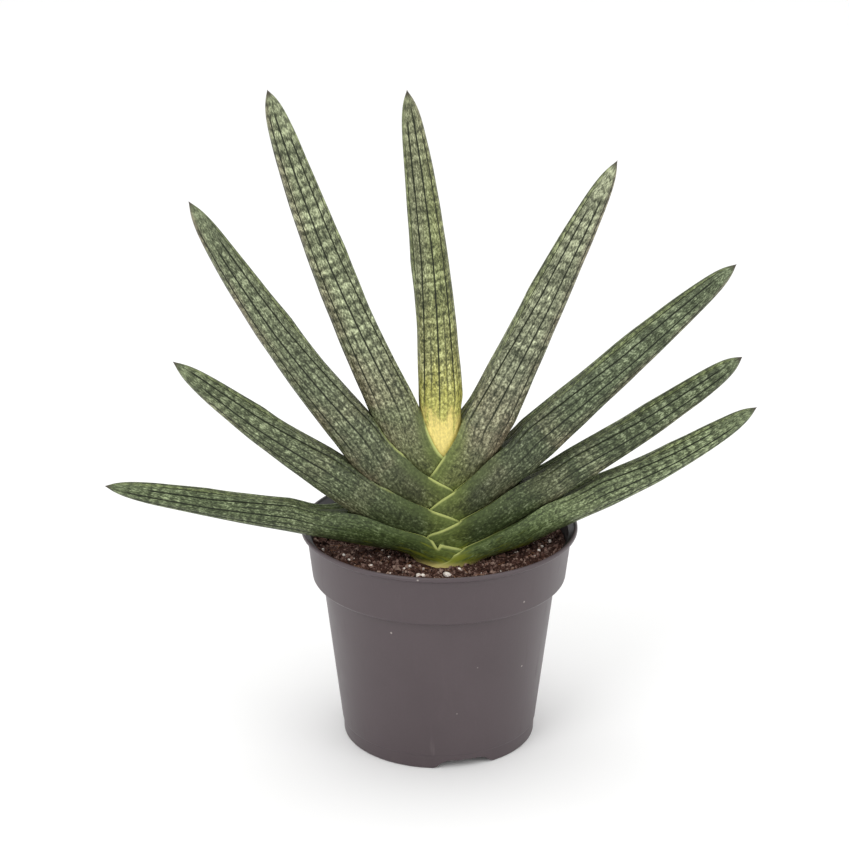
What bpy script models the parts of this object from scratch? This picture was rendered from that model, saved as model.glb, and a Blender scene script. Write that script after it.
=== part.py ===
"""A cylindrical snake plant in a plastic nursery pot, as separate closed solids.

The frame is metres, +Z up, with the origin on the pot's axis at the surface that it stands on.
Nine leaves grow in one flat fan. The sheath of each older leaf wraps the next younger leaf,
so every leaf is lofted whole, and then hollowed by the younger leaves that it wraps.
"""
import math
import random

import bmesh
import bpy
from mathutils import Matrix, Vector, noise

MM = 0.001
GAP = 0.3

# The pot, in millimetres
POT_RADIUS = 60.0
POT_HEIGHT = 97.2
WALL = 1.5
LIP_DROP = 2.0
NECK_RADIUS = 57.5
BAND_FOOT_RADIUS = 55.2
BAND_FOOT_HEIGHT = 73.6
BODY_TOP_RADIUS = 50.7
BODY_FOOT_RADIUS = 42.9
FOOT_RADIUS = 42.5
FOOT_HEIGHT = 6.0
FOOT_WIDTH = 2.4
FLOOR_UNDERSIDE = 4.8
FLOOR_TOP = 6.4
PAD_RADIUS = 15.0
POT_FACETS = 40
NOTCH_ANGLES = (-75.0, 45.0, 165.0)
NOTCH_TOP_LENGTH = 17.6
NOTCH_FOOT_LENGTH = 25.6
NOTCH_HEIGHT = 3.6
DRAIN_COUNT = 6
DRAIN_RADIUS = 4.0
DRAIN_CIRCLE = 27.0
DRAIN_FACETS = 12

# The soil
SOIL_AT_SHOOT = 85.7
SOIL_AT_WALL = 88.6
SOIL_HOLLOW_RADIUS = 16.0
SOIL_RISE_WIDTH = 38.0
SOIL_ROUGHNESS = 0.8
SOIL_LUMP_SIZE = 9.0
SOIL_RINGS = (10.0, 19.0, 27.0, 35.0, 43.0, 50.0)
CRUMB_COUNT = 30
CRUMB_RADII = (1.1, 2.2)
CRUMB_TO_WALL = 4.0
SEED = 7

# The fan of leaves stands on its own plane, a little in front of the pot's axis and turned
# about it. Fan points are (u, z): u to the right along the fan, z up from the crown.
FAN_ORIGIN = Vector((1.5, -7.4, 85.0))
FAN_TURN = math.radians(8.0)

# A cross-section's points run from its keel, 0, past one margin, to its channel and back
RING = 24
CORNER = 8
COLLAR_CORNER_ANGLE = 154.0
BLADE_CORNER_ANGLE = 135.0
BLADE_DEPTH = 0.93
GROOVE_DEPTH = 0.45
TIP_LENGTH = 3.6
BLADE_STEPS = 8
BLADE_CROWDING = 1.8
CHANNEL_FADE = 0.45

# From the sheath's foot to the collar, where the blade comes free of the braid
OUTER_SHEATH_DEPTH = 17.2
SHEATH_PITCH = 1.2
SHEATH_CLEARANCE = 0.4
MERGE_ANGLE = 1.0
CORNER_ANGLES = (128, 126, 116, 103, 100, 104, 124, 147)
CENTRE_CORNER_ANGLES = (128, 130, 136, 142, 147, 150, 152, 154)
BLADE_SHARE = (0.0, 0.0, 0.0, 0.02, 0.12, 0.38, 0.68, 0.9)
CHANNEL = (0.0, 0.0, 0.0, 0.0, -1.0, -2.0, -2.0, -1.5)
GROOVES = (0.0, 0.0, 0.0, 0.0, 0.0, 0.25, 0.5, 0.8)
SHEATH_STEPS = (1, 1, 1, 1, 1, 1, 2, 2)
COLLAR_CHANNEL = -0.9

# Oldest leaf first. The keel is the leaf's outer, lower edge and the margin is the edge of its
# sheath, both from the foot up. The collar is the middle of the blade's thick end, the bow is
# how far the blade's middle leaves a straight line, and the lean is how far its tip leaves the
# fan's plane, away from the front.
LEAVES = (
    dict(name="leaf_right_1", side=1, collar=(71.7, 27.0), width=15.6, taper=0.35,
         tip=(137.9, 60.2), bow=-1.4, lean=3.0,
         keel=((13.9, -12), (14.0, -3.5), (15.2, -1.4), (17.4, -0.2),
               (22.5, 1.0), (35.0, 3.6), (50.0, 9.9), (62.0, 14.9)),
         margin=((-9.0, -12), (-6.8, 0.6), (-1.9, 4.5), (6.6, 8.6),
                 (16.5, 12.2), (29.5, 17.8), (43.0, 24.4), (55.8, 27.4))),
    dict(name="leaf_left_1", side=-1, collar=(-67.1, 23.1), width=14.8, taper=0.35,
         tip=(-143.4, 41.4), bow=0.4, lean=-3.0,
         keel=((-12.2, -12), (-12.3, -2.5), (-12.8, -0.3), (-14.3, 1.6),
               (-18.0, 3.9), (-26.5, 5.9), (-39.5, 8.6), (-53.5, 12.3)),
         margin=((7.4, -12), (8.0, 3.0), (6.7, 8.0), (-3.5, 11.9),
                 (-11.5, 15.6), (-22.0, 18.8), (-37.3, 24.2), (-52.6, 25.4))),
    dict(name="leaf_right_2", side=1, collar=(59.4, 39.6), width=16.5, taper=0.29,
         tip=(128.5, 85.6), bow=-1.2, lean=-3.0,
         keel=((11.6, -12), (11.8, -2.5), (13.0, 1.2), (15.5, 3.2),
               (19.8, 6.0), (27.5, 10.4), (38.5, 17.0), (50.5, 24.6)),
         margin=((-7.0, -12), (-7.6, 4.0), (-9.0, 14.0), (-2.0, 17.8),
                 (8.0, 22.2), (17.5, 26.6), (28.2, 32.3), (42.3, 37.8))),
    dict(name="leaf_left_2", side=-1, collar=(-52.4, 44.5), width=18.5, taper=0.44,
         tip=(-113.0, 92.9), bow=0.7, lean=3.0,
         keel=((-9.9, -12), (-10.2, -3.0), (-11.6, 1.2), (-14.6, 4.4),
               (-19.5, 7.6), (-27.5, 13.0), (-37.5, 20.5), (-48.0, 29.0)),
         margin=((7.0, -12), (7.4, 6.0), (7.6, 17.5), (2.0, 22.6),
                 (-8.0, 27.0), (-17.5, 31.6), (-26.5, 36.6), (-37.0, 43.6))),
    dict(name="leaf_right_3", side=1, collar=(40.9, 53.0), width=20.5, taper=0.39,
         tip=(126.1, 124.8), bow=0.8, lean=4.0,
         keel=((9.3, -12), (9.6, -1.0), (10.8, 6.0), (13.2, 11.0),
               (17.4, 17.2), (24.0, 24.4), (32.5, 32.3), (40.5, 39.4)),
         margin=((-6.6, -12), (-7.4, 9.0), (-9.4, 22.0), (-4.2, 29.2),
                 (4.2, 34.8), (11.0, 40.3), (18.8, 46.8), (28.2, 53.0))),
    dict(name="leaf_left_3", side=-1, collar=(-38.1, 60.8), width=20.9, taper=0.43,
         tip=(-104.3, 162.8), bow=2.4, lean=-4.0,
         keel=((-7.6, -12), (-8.2, -1.0), (-10.2, 6.4), (-13.8, 12.0),
               (-19.0, 18.6), (-25.5, 26.0), (-33.0, 35.2), (-40.0, 44.8)),
         margin=((7.2, -12), (7.6, 9.0), (6.8, 25.0), (3.4, 33.4),
                 (-4.5, 39.0), (-11.0, 43.4), (-17.0, 49.4), (-23.4, 57.0))),
    dict(name="leaf_right_4", side=1, collar=(21.4, 66.9), width=22.6, taper=0.45,
         tip=(71.4, 173.6), bow=0.4, lean=-4.0,
         keel=((7.0, -12), (7.6, 4.0), (9.4, 14.0), (12.2, 22.6),
               (15.6, 31.0), (19.2, 38.8), (23.4, 46.8), (27.6, 54.8)),
         margin=((-6.2, -12), (-6.8, 10.0), (-8.0, 30.0), (-7.6, 38.4),
                 (-4.6, 44.0), (-1.3, 49.1), (3.8, 56.4), (7.6, 64.0))),
    dict(name="leaf_left_4", side=-1, collar=(-25.8, 80.9), width=20.2, taper=0.34,
         tip=(-71.0, 205.4), bow=2.1, lean=4.0,
         keel=((-5.3, -12), (-6.0, 4.0), (-8.4, 15.0), (-12.0, 24.6),
               (-16.2, 33.6), (-21.3, 44.4), (-26.0, 54.6), (-30.8, 65.8)),
         margin=((5.2, -12), (5.6, 12.0), (5.4, 32.0), (3.8, 41.5),
                 (0.2, 47.2), (-3.4, 51.8), (-6.8, 58.7), (-10.6, 69.8))),
    dict(name="leaf_centre", side=1, collar=(-1.5, 74.4), width=19.6, taper=0.37,
         tip=(-15.4, 205.0), bow=-1.8, lean=-2.0,
         keel=((4.4, -12), (4.8, 6.0), (5.6, 20.0), (6.4, 32.0),
               (7.0, 43.0), (7.6, 53.0), (7.7, 61.0), (7.6, 68.0)),
         margin=((-3.4, -12), (-3.8, 6.0), (-4.4, 20.0), (-5.2, 32.0),
                 (-7.0, 43.0), (-9.2, 52.6), (-9.8, 60.4), (-10.0, 67.4))),
)

# The stem under the leaves and its roots: (x, y, z) from the crown, then the radius
STEM = ((0.0, 0.0, -12.3, 12.0), (0.0, 0.0, -21.0, 12.4), (1.5, 1.0, -30.0, 10.5),
        (8.0, 3.0, -38.0, 8.6), (19.0, 6.0, -42.0, 7.6), (29.0, 9.0, -43.0, 5.2))
ROOT_COUNT = 6
ROOT_START_RADIUS = 5.0
ROOT_START_DEPTH = -24.0
ROOT_STAGGER = 3.0
ROOT_REACH = 23.0
ROOT_DROP = 38.0
ROOT_SWING = 0.35
ROOT_POINTS = 7
ROOT_RADII = (1.7, 0.8)


def clear_scene():
    for obj in list(bpy.data.objects):
        bpy.data.objects.remove(obj, do_unlink=True)


def new_collection(name):
    collection = bpy.data.collections.new(name)
    bpy.context.scene.collection.children.link(collection)
    return collection


def material(name, colour, roughness):
    made = bpy.data.materials.new(name)
    made.use_nodes = True
    shader = made.node_tree.nodes["Principled BSDF"]
    shader.inputs["Base Color"].default_value = (*colour, 1.0)
    shader.inputs["Roughness"].default_value = roughness
    shader.inputs["Metallic"].default_value = 0.0
    return made


def object_from_bmesh(name, bm, collection):
    mesh = bpy.data.meshes.new(name)
    bm.to_mesh(mesh)
    bm.free()
    obj = bpy.data.objects.new(name, mesh)
    collection.objects.link(obj)
    return obj


def finish(obj, made_material):
    obj.data.materials.clear()
    obj.data.materials.append(made_material)
    obj.data.shade_smooth()
    obj.data.set_sharp_from_angle(angle=math.radians(35))


def freeze(obj):
    """Replace an object's mesh or curve by its evaluated mesh, and drop its modifiers."""
    bpy.context.view_layer.update()
    evaluated = obj.evaluated_get(bpy.context.evaluated_depsgraph_get())
    mesh = bpy.data.meshes.new_from_object(evaluated)
    if obj.type == "MESH":
        obj.modifiers.clear()
        obj.data = mesh
        return obj
    name = obj.name
    place = obj.matrix_world.copy()
    homes = list(obj.users_collection)
    bpy.data.objects.remove(obj, do_unlink=True)
    solid = bpy.data.objects.new(name, mesh)
    solid.matrix_world = place
    for home in homes:
        home.objects.link(solid)
    weld(solid)
    return solid


def weld(obj, distance=0.01 * MM):
    bm = bmesh.new()
    bm.from_mesh(obj.data)
    bmesh.ops.remove_doubles(bm, verts=bm.verts, dist=distance)
    bmesh.ops.recalc_face_normals(bm, faces=bm.faces)
    bm.to_mesh(obj.data)
    bm.free()


def as_cutter(obj):
    obj.display_type = "WIRE"
    obj.hide_render = True
    return obj


def combine(obj, other, operation, solver="EXACT"):
    boolean = obj.modifiers.new(operation.lower(), "BOOLEAN")
    boolean.object = other
    boolean.operation = operation
    boolean.solver = solver
    freeze(obj)


def keep_largest_body(obj):
    """Drop the loose scraps that a cut leaves."""
    bm = bmesh.new()
    bm.from_mesh(obj.data)
    unseen = set(bm.verts)
    bodies = []
    while unseen:
        stack = [unseen.pop()]
        body = set(stack)
        while stack:
            for edge in stack.pop().link_edges:
                for vert in edge.verts:
                    if vert in unseen:
                        unseen.remove(vert)
                        body.add(vert)
                        stack.append(vert)
        bodies.append(body)
    bodies.sort(key=len)
    for body in bodies[:-1]:
        bmesh.ops.delete(bm, geom=list(body), context="VERTS")
    bm.to_mesh(obj.data)
    bm.free()


def merge_flat_faces(obj):
    """Merge the splinters that a cut leaves in flat faces, where the solid stays closed."""
    bm = bmesh.new()
    bm.from_mesh(obj.data)
    bmesh.ops.dissolve_limit(bm, angle_limit=math.radians(MERGE_ANGLE), verts=bm.verts, edges=bm.edges)
    bmesh.ops.triangulate(bm, faces=bm.faces)
    if all(edge.is_manifold for edge in bm.edges):
        bm.to_mesh(obj.data)
    bm.free()


def turned(name, profile, facets, collection):
    """A closed solid turned about Z from (radius, height) points that end on the axis."""
    bm = bmesh.new()
    verts = [bm.verts.new((radius * MM, 0.0, height * MM)) for radius, height in profile]
    for first, second in zip(verts, verts[1:]):
        bm.edges.new((first, second))
    obj = object_from_bmesh(name, bm, collection)
    screw = obj.modifiers.new("turn", "SCREW")
    screw.steps = facets
    screw.render_steps = facets
    screw.use_merge_vertices = True
    screw.merge_threshold = 0.01 * MM
    return freeze(obj)


def pot_inner_wall():
    """(radius, height) points of the pot's inside, from the middle of the floor to the rim."""
    return [
        (0.0, FLOOR_TOP),
        (BODY_FOOT_RADIUS - WALL - 2.0, FLOOR_TOP),
        (BODY_FOOT_RADIUS - WALL + 0.1, FLOOR_TOP + 2.5),
        (BODY_TOP_RADIUS - WALL, BAND_FOOT_HEIGHT - 0.6),
        (BAND_FOOT_RADIUS - WALL - 0.6, BAND_FOOT_HEIGHT + 1.6),
        (NECK_RADIUS - WALL, POT_HEIGHT - LIP_DROP - 1.0),
        (POT_RADIUS - WALL, POT_HEIGHT - 1.2),
        (POT_RADIUS - WALL + 0.3, POT_HEIGHT),
    ]


def pot_outer_wall():
    """(radius, height) points of the pot's outside, from the rim to the middle of its underside."""
    return [
        (POT_RADIUS - 0.5, POT_HEIGHT),
        (POT_RADIUS, POT_HEIGHT - 0.5),
        (POT_RADIUS, POT_HEIGHT - LIP_DROP + 0.4),
        (POT_RADIUS - 0.5, POT_HEIGHT - LIP_DROP),
        (NECK_RADIUS, POT_HEIGHT - LIP_DROP - 1.2),
        (BAND_FOOT_RADIUS, BAND_FOOT_HEIGHT + 1.0),
        (BAND_FOOT_RADIUS - 0.8, BAND_FOOT_HEIGHT),
        (BODY_TOP_RADIUS + 0.3, BAND_FOOT_HEIGHT - 0.4),
        (BODY_TOP_RADIUS, BAND_FOOT_HEIGHT - 1.4),
        (BODY_FOOT_RADIUS, FOOT_HEIGHT + 0.5),
        (FOOT_RADIUS, FOOT_HEIGHT),
        (FOOT_RADIUS - 0.3, 0.0),
        (FOOT_RADIUS - FOOT_WIDTH, 0.0),
        (FOOT_RADIUS - FOOT_WIDTH, FLOOR_UNDERSIDE),
        (PAD_RADIUS, FLOOR_UNDERSIDE),
        (PAD_RADIUS, 0.0),
        (0.0, 0.0),
    ]


def make_pot(parts, cutters):
    """The moulded pot: one turned wall, cut-outs in its foot ring and drain holes in its floor."""
    pot = turned("pot", pot_inner_wall() + pot_outer_wall(), POT_FACETS, parts)
    for angle in NOTCH_ANGLES:
        turn = Matrix.Rotation(math.radians(angle), 4, "Z")
        bm = bmesh.new()
        bmesh.ops.create_cube(bm, size=1.0)
        size = Vector((3.0 * FOOT_WIDTH, NOTCH_FOOT_LENGTH, 2.0 * NOTCH_HEIGHT)) * MM
        bmesh.ops.scale(bm, vec=size, verts=bm.verts)
        for vert in bm.verts:
            spread = NOTCH_FOOT_LENGTH - NOTCH_TOP_LENGTH
            vert.co.y *= 1.0 - math.copysign(spread / NOTCH_FOOT_LENGTH, vert.co.z)
        bmesh.ops.translate(bm, vec=Vector((FOOT_RADIUS - 1.0, 0.0, 0.0)) * MM, verts=bm.verts)
        bmesh.ops.transform(bm, matrix=turn, verts=bm.verts)
        notch = as_cutter(object_from_bmesh("foot_notch", bm, cutters))
        combine(pot, notch, "DIFFERENCE")
    for index in range(DRAIN_COUNT):
        angle = 2.0 * math.pi * (index + 0.5) / DRAIN_COUNT
        bm = bmesh.new()
        bmesh.ops.create_cone(bm, cap_ends=True, segments=DRAIN_FACETS, radius1=DRAIN_RADIUS * MM,
                              radius2=DRAIN_RADIUS * MM, depth=4.0 * FLOOR_TOP * MM)
        place = Vector((math.cos(angle), math.sin(angle), 0.0)) * DRAIN_CIRCLE * MM
        bmesh.ops.translate(bm, vec=place, verts=bm.verts)
        drain = as_cutter(object_from_bmesh("drain_hole", bm, cutters))
        combine(pot, drain, "DIFFERENCE")
    return pot


def soil_level(x, y):
    """Height of the soil, in millimetres: it rises from the shoot to the pot's wall."""
    radius = math.hypot(x, y)
    rise = min(max((radius - SOIL_HOLLOW_RADIUS) / SOIL_RISE_WIDTH, 0.0), 1.0)
    rough = noise.noise(Vector((x, y, SEED)) / SOIL_LUMP_SIZE) * SOIL_ROUGHNESS
    return SOIL_AT_SHOOT + (SOIL_AT_WALL - SOIL_AT_SHOOT) * rise + rough


def make_soil(parts, cutters, shoot_cutters):
    """The potting mix: it fills the pot to a crumbly top, with plain holes for shoot and roots."""
    wall = pot_inner_wall()
    low, high = wall[4], wall[5]
    share = (SOIL_AT_WALL - low[1]) / (high[1] - low[1])
    edge = low[0] + (high[0] - low[0]) * share - GAP
    profile = [(0.0, SOIL_AT_SHOOT)]
    profile += [(radius, SOIL_AT_WALL) for radius in SOIL_RINGS]
    profile += [
        (edge, SOIL_AT_WALL),
        (low[0] - GAP, low[1] + GAP),
        (wall[3][0] - GAP, wall[3][1] + 0.5 * GAP),
        (wall[2][0] - GAP, wall[2][1] + 0.5 * GAP),
        (wall[1][0] - GAP, wall[1][1] + GAP),
        (0.0, FLOOR_TOP + GAP),
    ]
    soil = turned("soil", profile, POT_FACETS, parts)
    for vert in soil.data.vertices:
        x, y, z = vert.co / MM
        if z > SOIL_AT_SHOOT - 0.1 and math.hypot(x, y) < edge - 1.0:
            vert.co.z = soil_level(x, y) * MM
    draw = random.Random(SEED)
    crumbs = new_collection("crumbs")
    for _ in range(CRUMB_COUNT):
        angle = draw.uniform(0.0, 2.0 * math.pi)
        distance = draw.uniform(SOIL_HOLLOW_RADIUS, edge - CRUMB_TO_WALL)
        radius = draw.uniform(*CRUMB_RADII)
        x = distance * math.cos(angle)
        y = distance * math.sin(angle)
        bm = bmesh.new()
        bmesh.ops.create_icosphere(bm, subdivisions=1, radius=radius * MM)
        for vert in bm.verts:
            vert.co *= draw.uniform(0.8, 1.2)
        place = Vector((x, y, soil_level(x, y) + 0.15 * radius)) * MM
        bmesh.ops.translate(bm, vec=place, verts=bm.verts)
        object_from_bmesh("crumb", bm, crumbs)
    union = soil.modifiers.new("crumbs", "BOOLEAN")
    union.operation = "UNION"
    union.operand_type = "COLLECTION"
    union.collection = crumbs
    freeze(soil)
    for crumb in list(crumbs.objects):
        bpy.data.objects.remove(crumb, do_unlink=True)
    bpy.data.collections.remove(crumbs)
    root_cutter = as_cutter(stem_and_roots("root_hole", cutters, SHEATH_CLEARANCE))
    for cutter in [*shoot_cutters, root_cutter]:
        combine(soil, cutter, "DIFFERENCE", "MANIFOLD")
    keep_largest_body(soil)
    return soil


def rod(name, points, sides_resolution, collection):
    """A closed rod through (x, y, z, radius) points, in millimetres from the crown."""
    curve = bpy.data.curves.new(name, "CURVE")
    curve.dimensions = "3D"
    curve.bevel_depth = MM
    curve.bevel_resolution = sides_resolution
    curve.use_fill_caps = True
    spline = curve.splines.new("POLY")
    spline.points.add(len(points) - 1)
    for point, (x, y, z, radius) in zip(spline.points, points):
        point.co = (*((FAN_ORIGIN + Vector((x, y, z))) * MM), 1.0)
        point.radius = radius
    obj = bpy.data.objects.new(name, curve)
    collection.objects.link(obj)
    return freeze(obj)


def stem_and_roots(name, collection, grow):
    """The short thick stem below the leaves, with its roots fused to it."""
    stem_points = [(x, y, z, radius + grow) for x, y, z, radius in STEM]
    if grow:
        first = stem_points[0]
        stem_points[0] = (first[0], first[1], first[2] + 1.0, first[3])
        last = stem_points[-1]
        stem_points[-1] = (last[0] + grow, last[1], last[2], last[3])
    whole = rod(name, stem_points, 3, collection)
    for index in range(ROOT_COUNT):
        angle = 2.0 * math.pi * (index + ROOT_SWING) / ROOT_COUNT
        points = []
        for step in range(ROOT_POINTS):
            along = step / (ROOT_POINTS - 1)
            reach = ROOT_START_RADIUS + ROOT_REACH * along ** 0.8
            swing = angle + ROOT_SWING * math.sin(3.0 * along + index)
            drop = ROOT_START_DEPTH - index % 2 * ROOT_STAGGER - ROOT_DROP * along ** 1.6
            radius = ROOT_RADII[0] + (ROOT_RADII[1] - ROOT_RADII[0]) * along + grow
            points.append((reach * math.cos(swing), reach * math.sin(swing), drop, radius))
        if grow:
            x, y, z, radius = points[-1]
            points[-1] = (x, y, z - grow, radius)
        root = rod("root", points, 1, collection)
        combine(whole, root, "UNION")
        bpy.data.objects.remove(root, do_unlink=True)
    return whole


def fan_to_world(u, out, z):
    """A point of the fan's frame, in millimetres, as world metres: out is away from the front."""
    x = u * math.cos(FAN_TURN) - out * math.sin(FAN_TURN)
    y = u * math.sin(FAN_TURN) + out * math.cos(FAN_TURN)
    return (FAN_ORIGIN + Vector((x, y, z))) * MM


def between_keys(keys, index, share):
    """A smooth curve that passes through every key row, read between two of them."""
    before = keys[max(index - 1, 0)]
    first = keys[index]
    second = keys[index + 1]
    after = keys[min(index + 2, len(keys) - 1)]
    row = []
    for a, b, c, d in zip(before, first, second, after):
        linear = c - a
        square = 2.0 * a - 5.0 * b + 4.0 * c - d
        cube = 3.0 * (b - c) + d - a
        row.append(b + 0.5 * share * (linear + share * (square + share * cube)))
    return row


def blade_row(leaf, share):
    """The section at a share of the way from the collar to the tip."""
    collar = Vector(leaf["collar"])
    tip = Vector(leaf["tip"])
    length = (tip - collar).length
    along = (tip - collar) / length
    across = Vector((-along.y, along.x))
    centre = collar.lerp(tip, share) + across * leaf["bow"] * 4.0 * share * (1.0 - share)
    from_tip = length * (1.0 - share)
    point = (1.0 - math.exp(-from_tip / TIP_LENGTH)) / (1.0 - math.exp(-length / TIP_LENGTH))
    thickness = (1.0 - share) ** leaf["taper"] * point
    radius = 0.5 * leaf["width"] * thickness
    to_margin = across * leaf["side"]
    fade = min(share / CHANNEL_FADE, 1.0)
    corner_angle = COLLAR_CORNER_ANGLE + (BLADE_CORNER_ANGLE - COLLAR_CORNER_ANGLE) * fade
    keel = centre - to_margin * radius
    margin = centre - to_margin * radius * math.cos(math.radians(corner_angle))
    round_top = radius * (1.0 + math.cos(math.radians(corner_angle)))
    channel = COLLAR_CHANNEL + (round_top - COLLAR_CHANNEL) * fade
    return [keel.x, keel.y, margin.x, margin.y, radius * BLADE_DEPTH, corner_angle,
            channel, thickness, leaf["lean"] * share * share]


def leaf_rows(leaf, order):
    """All sections of a leaf, from the foot of its sheath to just short of its tip."""
    sheath_depth = OUTER_SHEATH_DEPTH - SHEATH_PITCH * order
    collar = blade_row(leaf, 0.0)
    corner_angles = CENTRE_CORNER_ANGLES if leaf is LEAVES[-1] else CORNER_ANGLES
    keys = []
    for index, (keel, margin) in enumerate(zip(leaf["keel"], leaf["margin"])):
        depth = sheath_depth + (collar[4] - sheath_depth) * BLADE_SHARE[index]
        keys.append([*keel, *margin, depth, corner_angles[index], CHANNEL[index], GROOVES[index], 0.0])
    keys.append(collar)
    keys.append(blade_row(leaf, 0.12))
    rows = []
    for index, steps in enumerate(SHEATH_STEPS):
        rows += [between_keys(keys, index, step / steps) for step in range(steps)]
    for step in range(BLADE_STEPS):
        rows.append(blade_row(leaf, 1.0 - (1.0 - step / BLADE_STEPS) ** BLADE_CROWDING))
    return rows


def section_points(row, grow):
    """The ring of points of one section, as (u, out, z), grown outwards all round by grow."""
    keel = Vector(row[0:2])
    margin = Vector(row[2:4])
    depth, corner_angle, channel, groove, lean = row[4:9]
    across = (margin - keel).normalized()
    corner = math.radians(corner_angle)
    reach = (margin - keel).length
    half = reach / (1.0 - math.cos(corner))
    side_points = []
    for index in range(RING // 2 + 1):
        angle = corner * min(index / CORNER, 1.0)
        share = max(index - CORNER, 0) / (RING // 2 - CORNER)
        along = half * (1.0 - math.cos(angle)) + channel * (1.0 - (1.0 - share) ** 2)
        out = depth * math.sin(angle) * (1.0 - share)
        normal = Vector((-depth * math.cos(angle), half * math.sin(angle))).normalized()
        face_normal = Vector((depth * math.sin(corner), 2.0 * channel * (1.0 - share))).normalized()
        if index == CORNER:
            normal = (normal + face_normal) / (1.0 + normal.dot(face_normal))
        elif index > CORNER:
            normal = face_normal
        shift = grow
        if index % 2:
            shift -= GROOVE_DEPTH * groove
        side_points.append((along + normal.x * shift, out + normal.y * shift))
    ring = [(along, -out) for along, out in side_points]
    ring += [(along, out) for along, out in reversed(side_points[1:-1])]
    points = []
    for along, out in ring:
        place = keel + across * along
        points.append((place.x, out + lean, place.y))
    return points


def lofted_leaf(leaf, order, grow, name, collection):
    """One leaf as a closed loft of its sections, with its hollow still filled."""
    rows = leaf_rows(leaf, order)
    if grow:
        foot = list(rows[0])
        foot[1] -= 1.5 * grow
        foot[3] -= 1.5 * grow
        rows[0] = foot
    bm = bmesh.new()
    rings = []
    for row in rows:
        rings.append([bm.verts.new(fan_to_world(*point)) for point in section_points(row, grow)])
    for lower, upper in zip(rings, rings[1:]):
        for index in range(RING):
            after = (index + 1) % RING
            bm.faces.new((lower[index], lower[after], upper[after], upper[index]))
    bm.faces.new(rings[0])
    tip = Vector(leaf["tip"])
    outward = (tip - Vector(leaf["collar"])).normalized()
    end = tip + outward * grow
    tip_vert = bm.verts.new(fan_to_world(end.x, leaf["lean"], end.y))
    for index in range(RING):
        bm.faces.new((rings[-1][index], rings[-1][(index + 1) % RING], tip_vert))
    bmesh.ops.recalc_face_normals(bm, faces=bm.faces)
    bmesh.ops.triangulate(bm, faces=bm.faces)
    return object_from_bmesh(name, bm, collection)


def make_leaves(parts, cutters):
    """Every leaf, each hollowed by all the younger ones, and the cutters that stand for them."""
    grown = []
    for order, leaf in enumerate(LEAVES):
        cutter = lofted_leaf(leaf, order, SHEATH_CLEARANCE, leaf["name"] + "_room", cutters)
        grown.append(as_cutter(cutter))
    leaves = []
    for order, leaf in enumerate(LEAVES):
        obj = lofted_leaf(leaf, order, 0.0, leaf["name"], parts)
        for younger in grown[order + 1:]:
            combine(obj, younger, "DIFFERENCE", "MANIFOLD")
        keep_largest_body(obj)
        merge_flat_faces(obj)
        leaves.append(obj)
    return leaves, grown


clear_scene()
plant = new_collection("cylindrical_snake_plant")
guides = new_collection("cutters")

pot_plastic = material("pot_plastic", (0.105, 0.092, 0.094), 0.5)
potting_mix = material("potting_mix", (0.035, 0.018, 0.012), 0.95)
leaf_green = material("leaf_green", (0.075, 0.115, 0.065), 0.5)
centre_leaf_green = material("centre_leaf_green", (0.11, 0.14, 0.06), 0.5)
rhizome_skin = material("rhizome_skin", (0.55, 0.36, 0.16), 0.6)

finish(make_pot(plant, guides), pot_plastic)
snake_leaves, leaf_room = make_leaves(plant, guides)
for snake_leaf in snake_leaves[:-1]:
    finish(snake_leaf, leaf_green)
finish(snake_leaves[-1], centre_leaf_green)
finish(make_soil(plant, guides, leaf_room[:4]), potting_mix)
finish(stem_and_roots("rhizome_roots", plant, 0.0), rhizome_skin)
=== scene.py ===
import math
import random

import bpy
import numpy as np
from mathutils import Euler, Matrix, Vector, noise
from mathutils.kdtree import KDTree


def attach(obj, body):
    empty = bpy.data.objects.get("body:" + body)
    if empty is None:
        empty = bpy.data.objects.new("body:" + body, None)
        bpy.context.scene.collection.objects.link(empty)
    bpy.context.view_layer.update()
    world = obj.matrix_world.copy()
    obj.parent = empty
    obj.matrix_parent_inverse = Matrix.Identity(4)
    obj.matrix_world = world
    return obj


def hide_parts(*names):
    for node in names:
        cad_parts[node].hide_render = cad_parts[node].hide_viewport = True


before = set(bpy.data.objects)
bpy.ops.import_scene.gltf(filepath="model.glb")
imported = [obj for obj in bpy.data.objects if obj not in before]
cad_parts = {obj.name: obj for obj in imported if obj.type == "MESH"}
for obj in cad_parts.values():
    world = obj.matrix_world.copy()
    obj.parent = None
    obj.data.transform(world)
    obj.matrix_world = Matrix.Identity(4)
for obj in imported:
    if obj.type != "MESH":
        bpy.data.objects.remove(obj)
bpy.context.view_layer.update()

# The camera stands a metre in front of the pot and looks a little down on it. Its height, aim
# and lens come from the ellipses of the pot's rim, band and foot in the photograph.
MM = 0.001
CAMERA_AIM = Vector((-6.39, 0.0, 142.79)) * MM
CAMERA_DISTANCE = 1.0
CAMERA_ELEVATION = math.radians(20.23)
FOCAL_LENGTH_PX = 2340.0
IMAGE_WIDTH_PX = 849
SENSOR_WIDTH = 36.0


def deselect():
    bpy.ops.object.select_all(action="DESELECT")


camera_side = Vector((0.0, -math.cos(CAMERA_ELEVATION), math.sin(CAMERA_ELEVATION)))
deselect()
bpy.ops.object.camera_add(
    location=CAMERA_AIM + camera_side * CAMERA_DISTANCE,
    rotation=(0.5 * math.pi - CAMERA_ELEVATION, 0.0, 0.0),
)
camera = bpy.context.object
camera.data.sensor_width = SENSOR_WIDTH
camera.data.lens = FOCAL_LENGTH_PX / IMAGE_WIDTH_PX * SENSOR_WIDTH
bpy.context.scene.camera = camera

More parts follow.
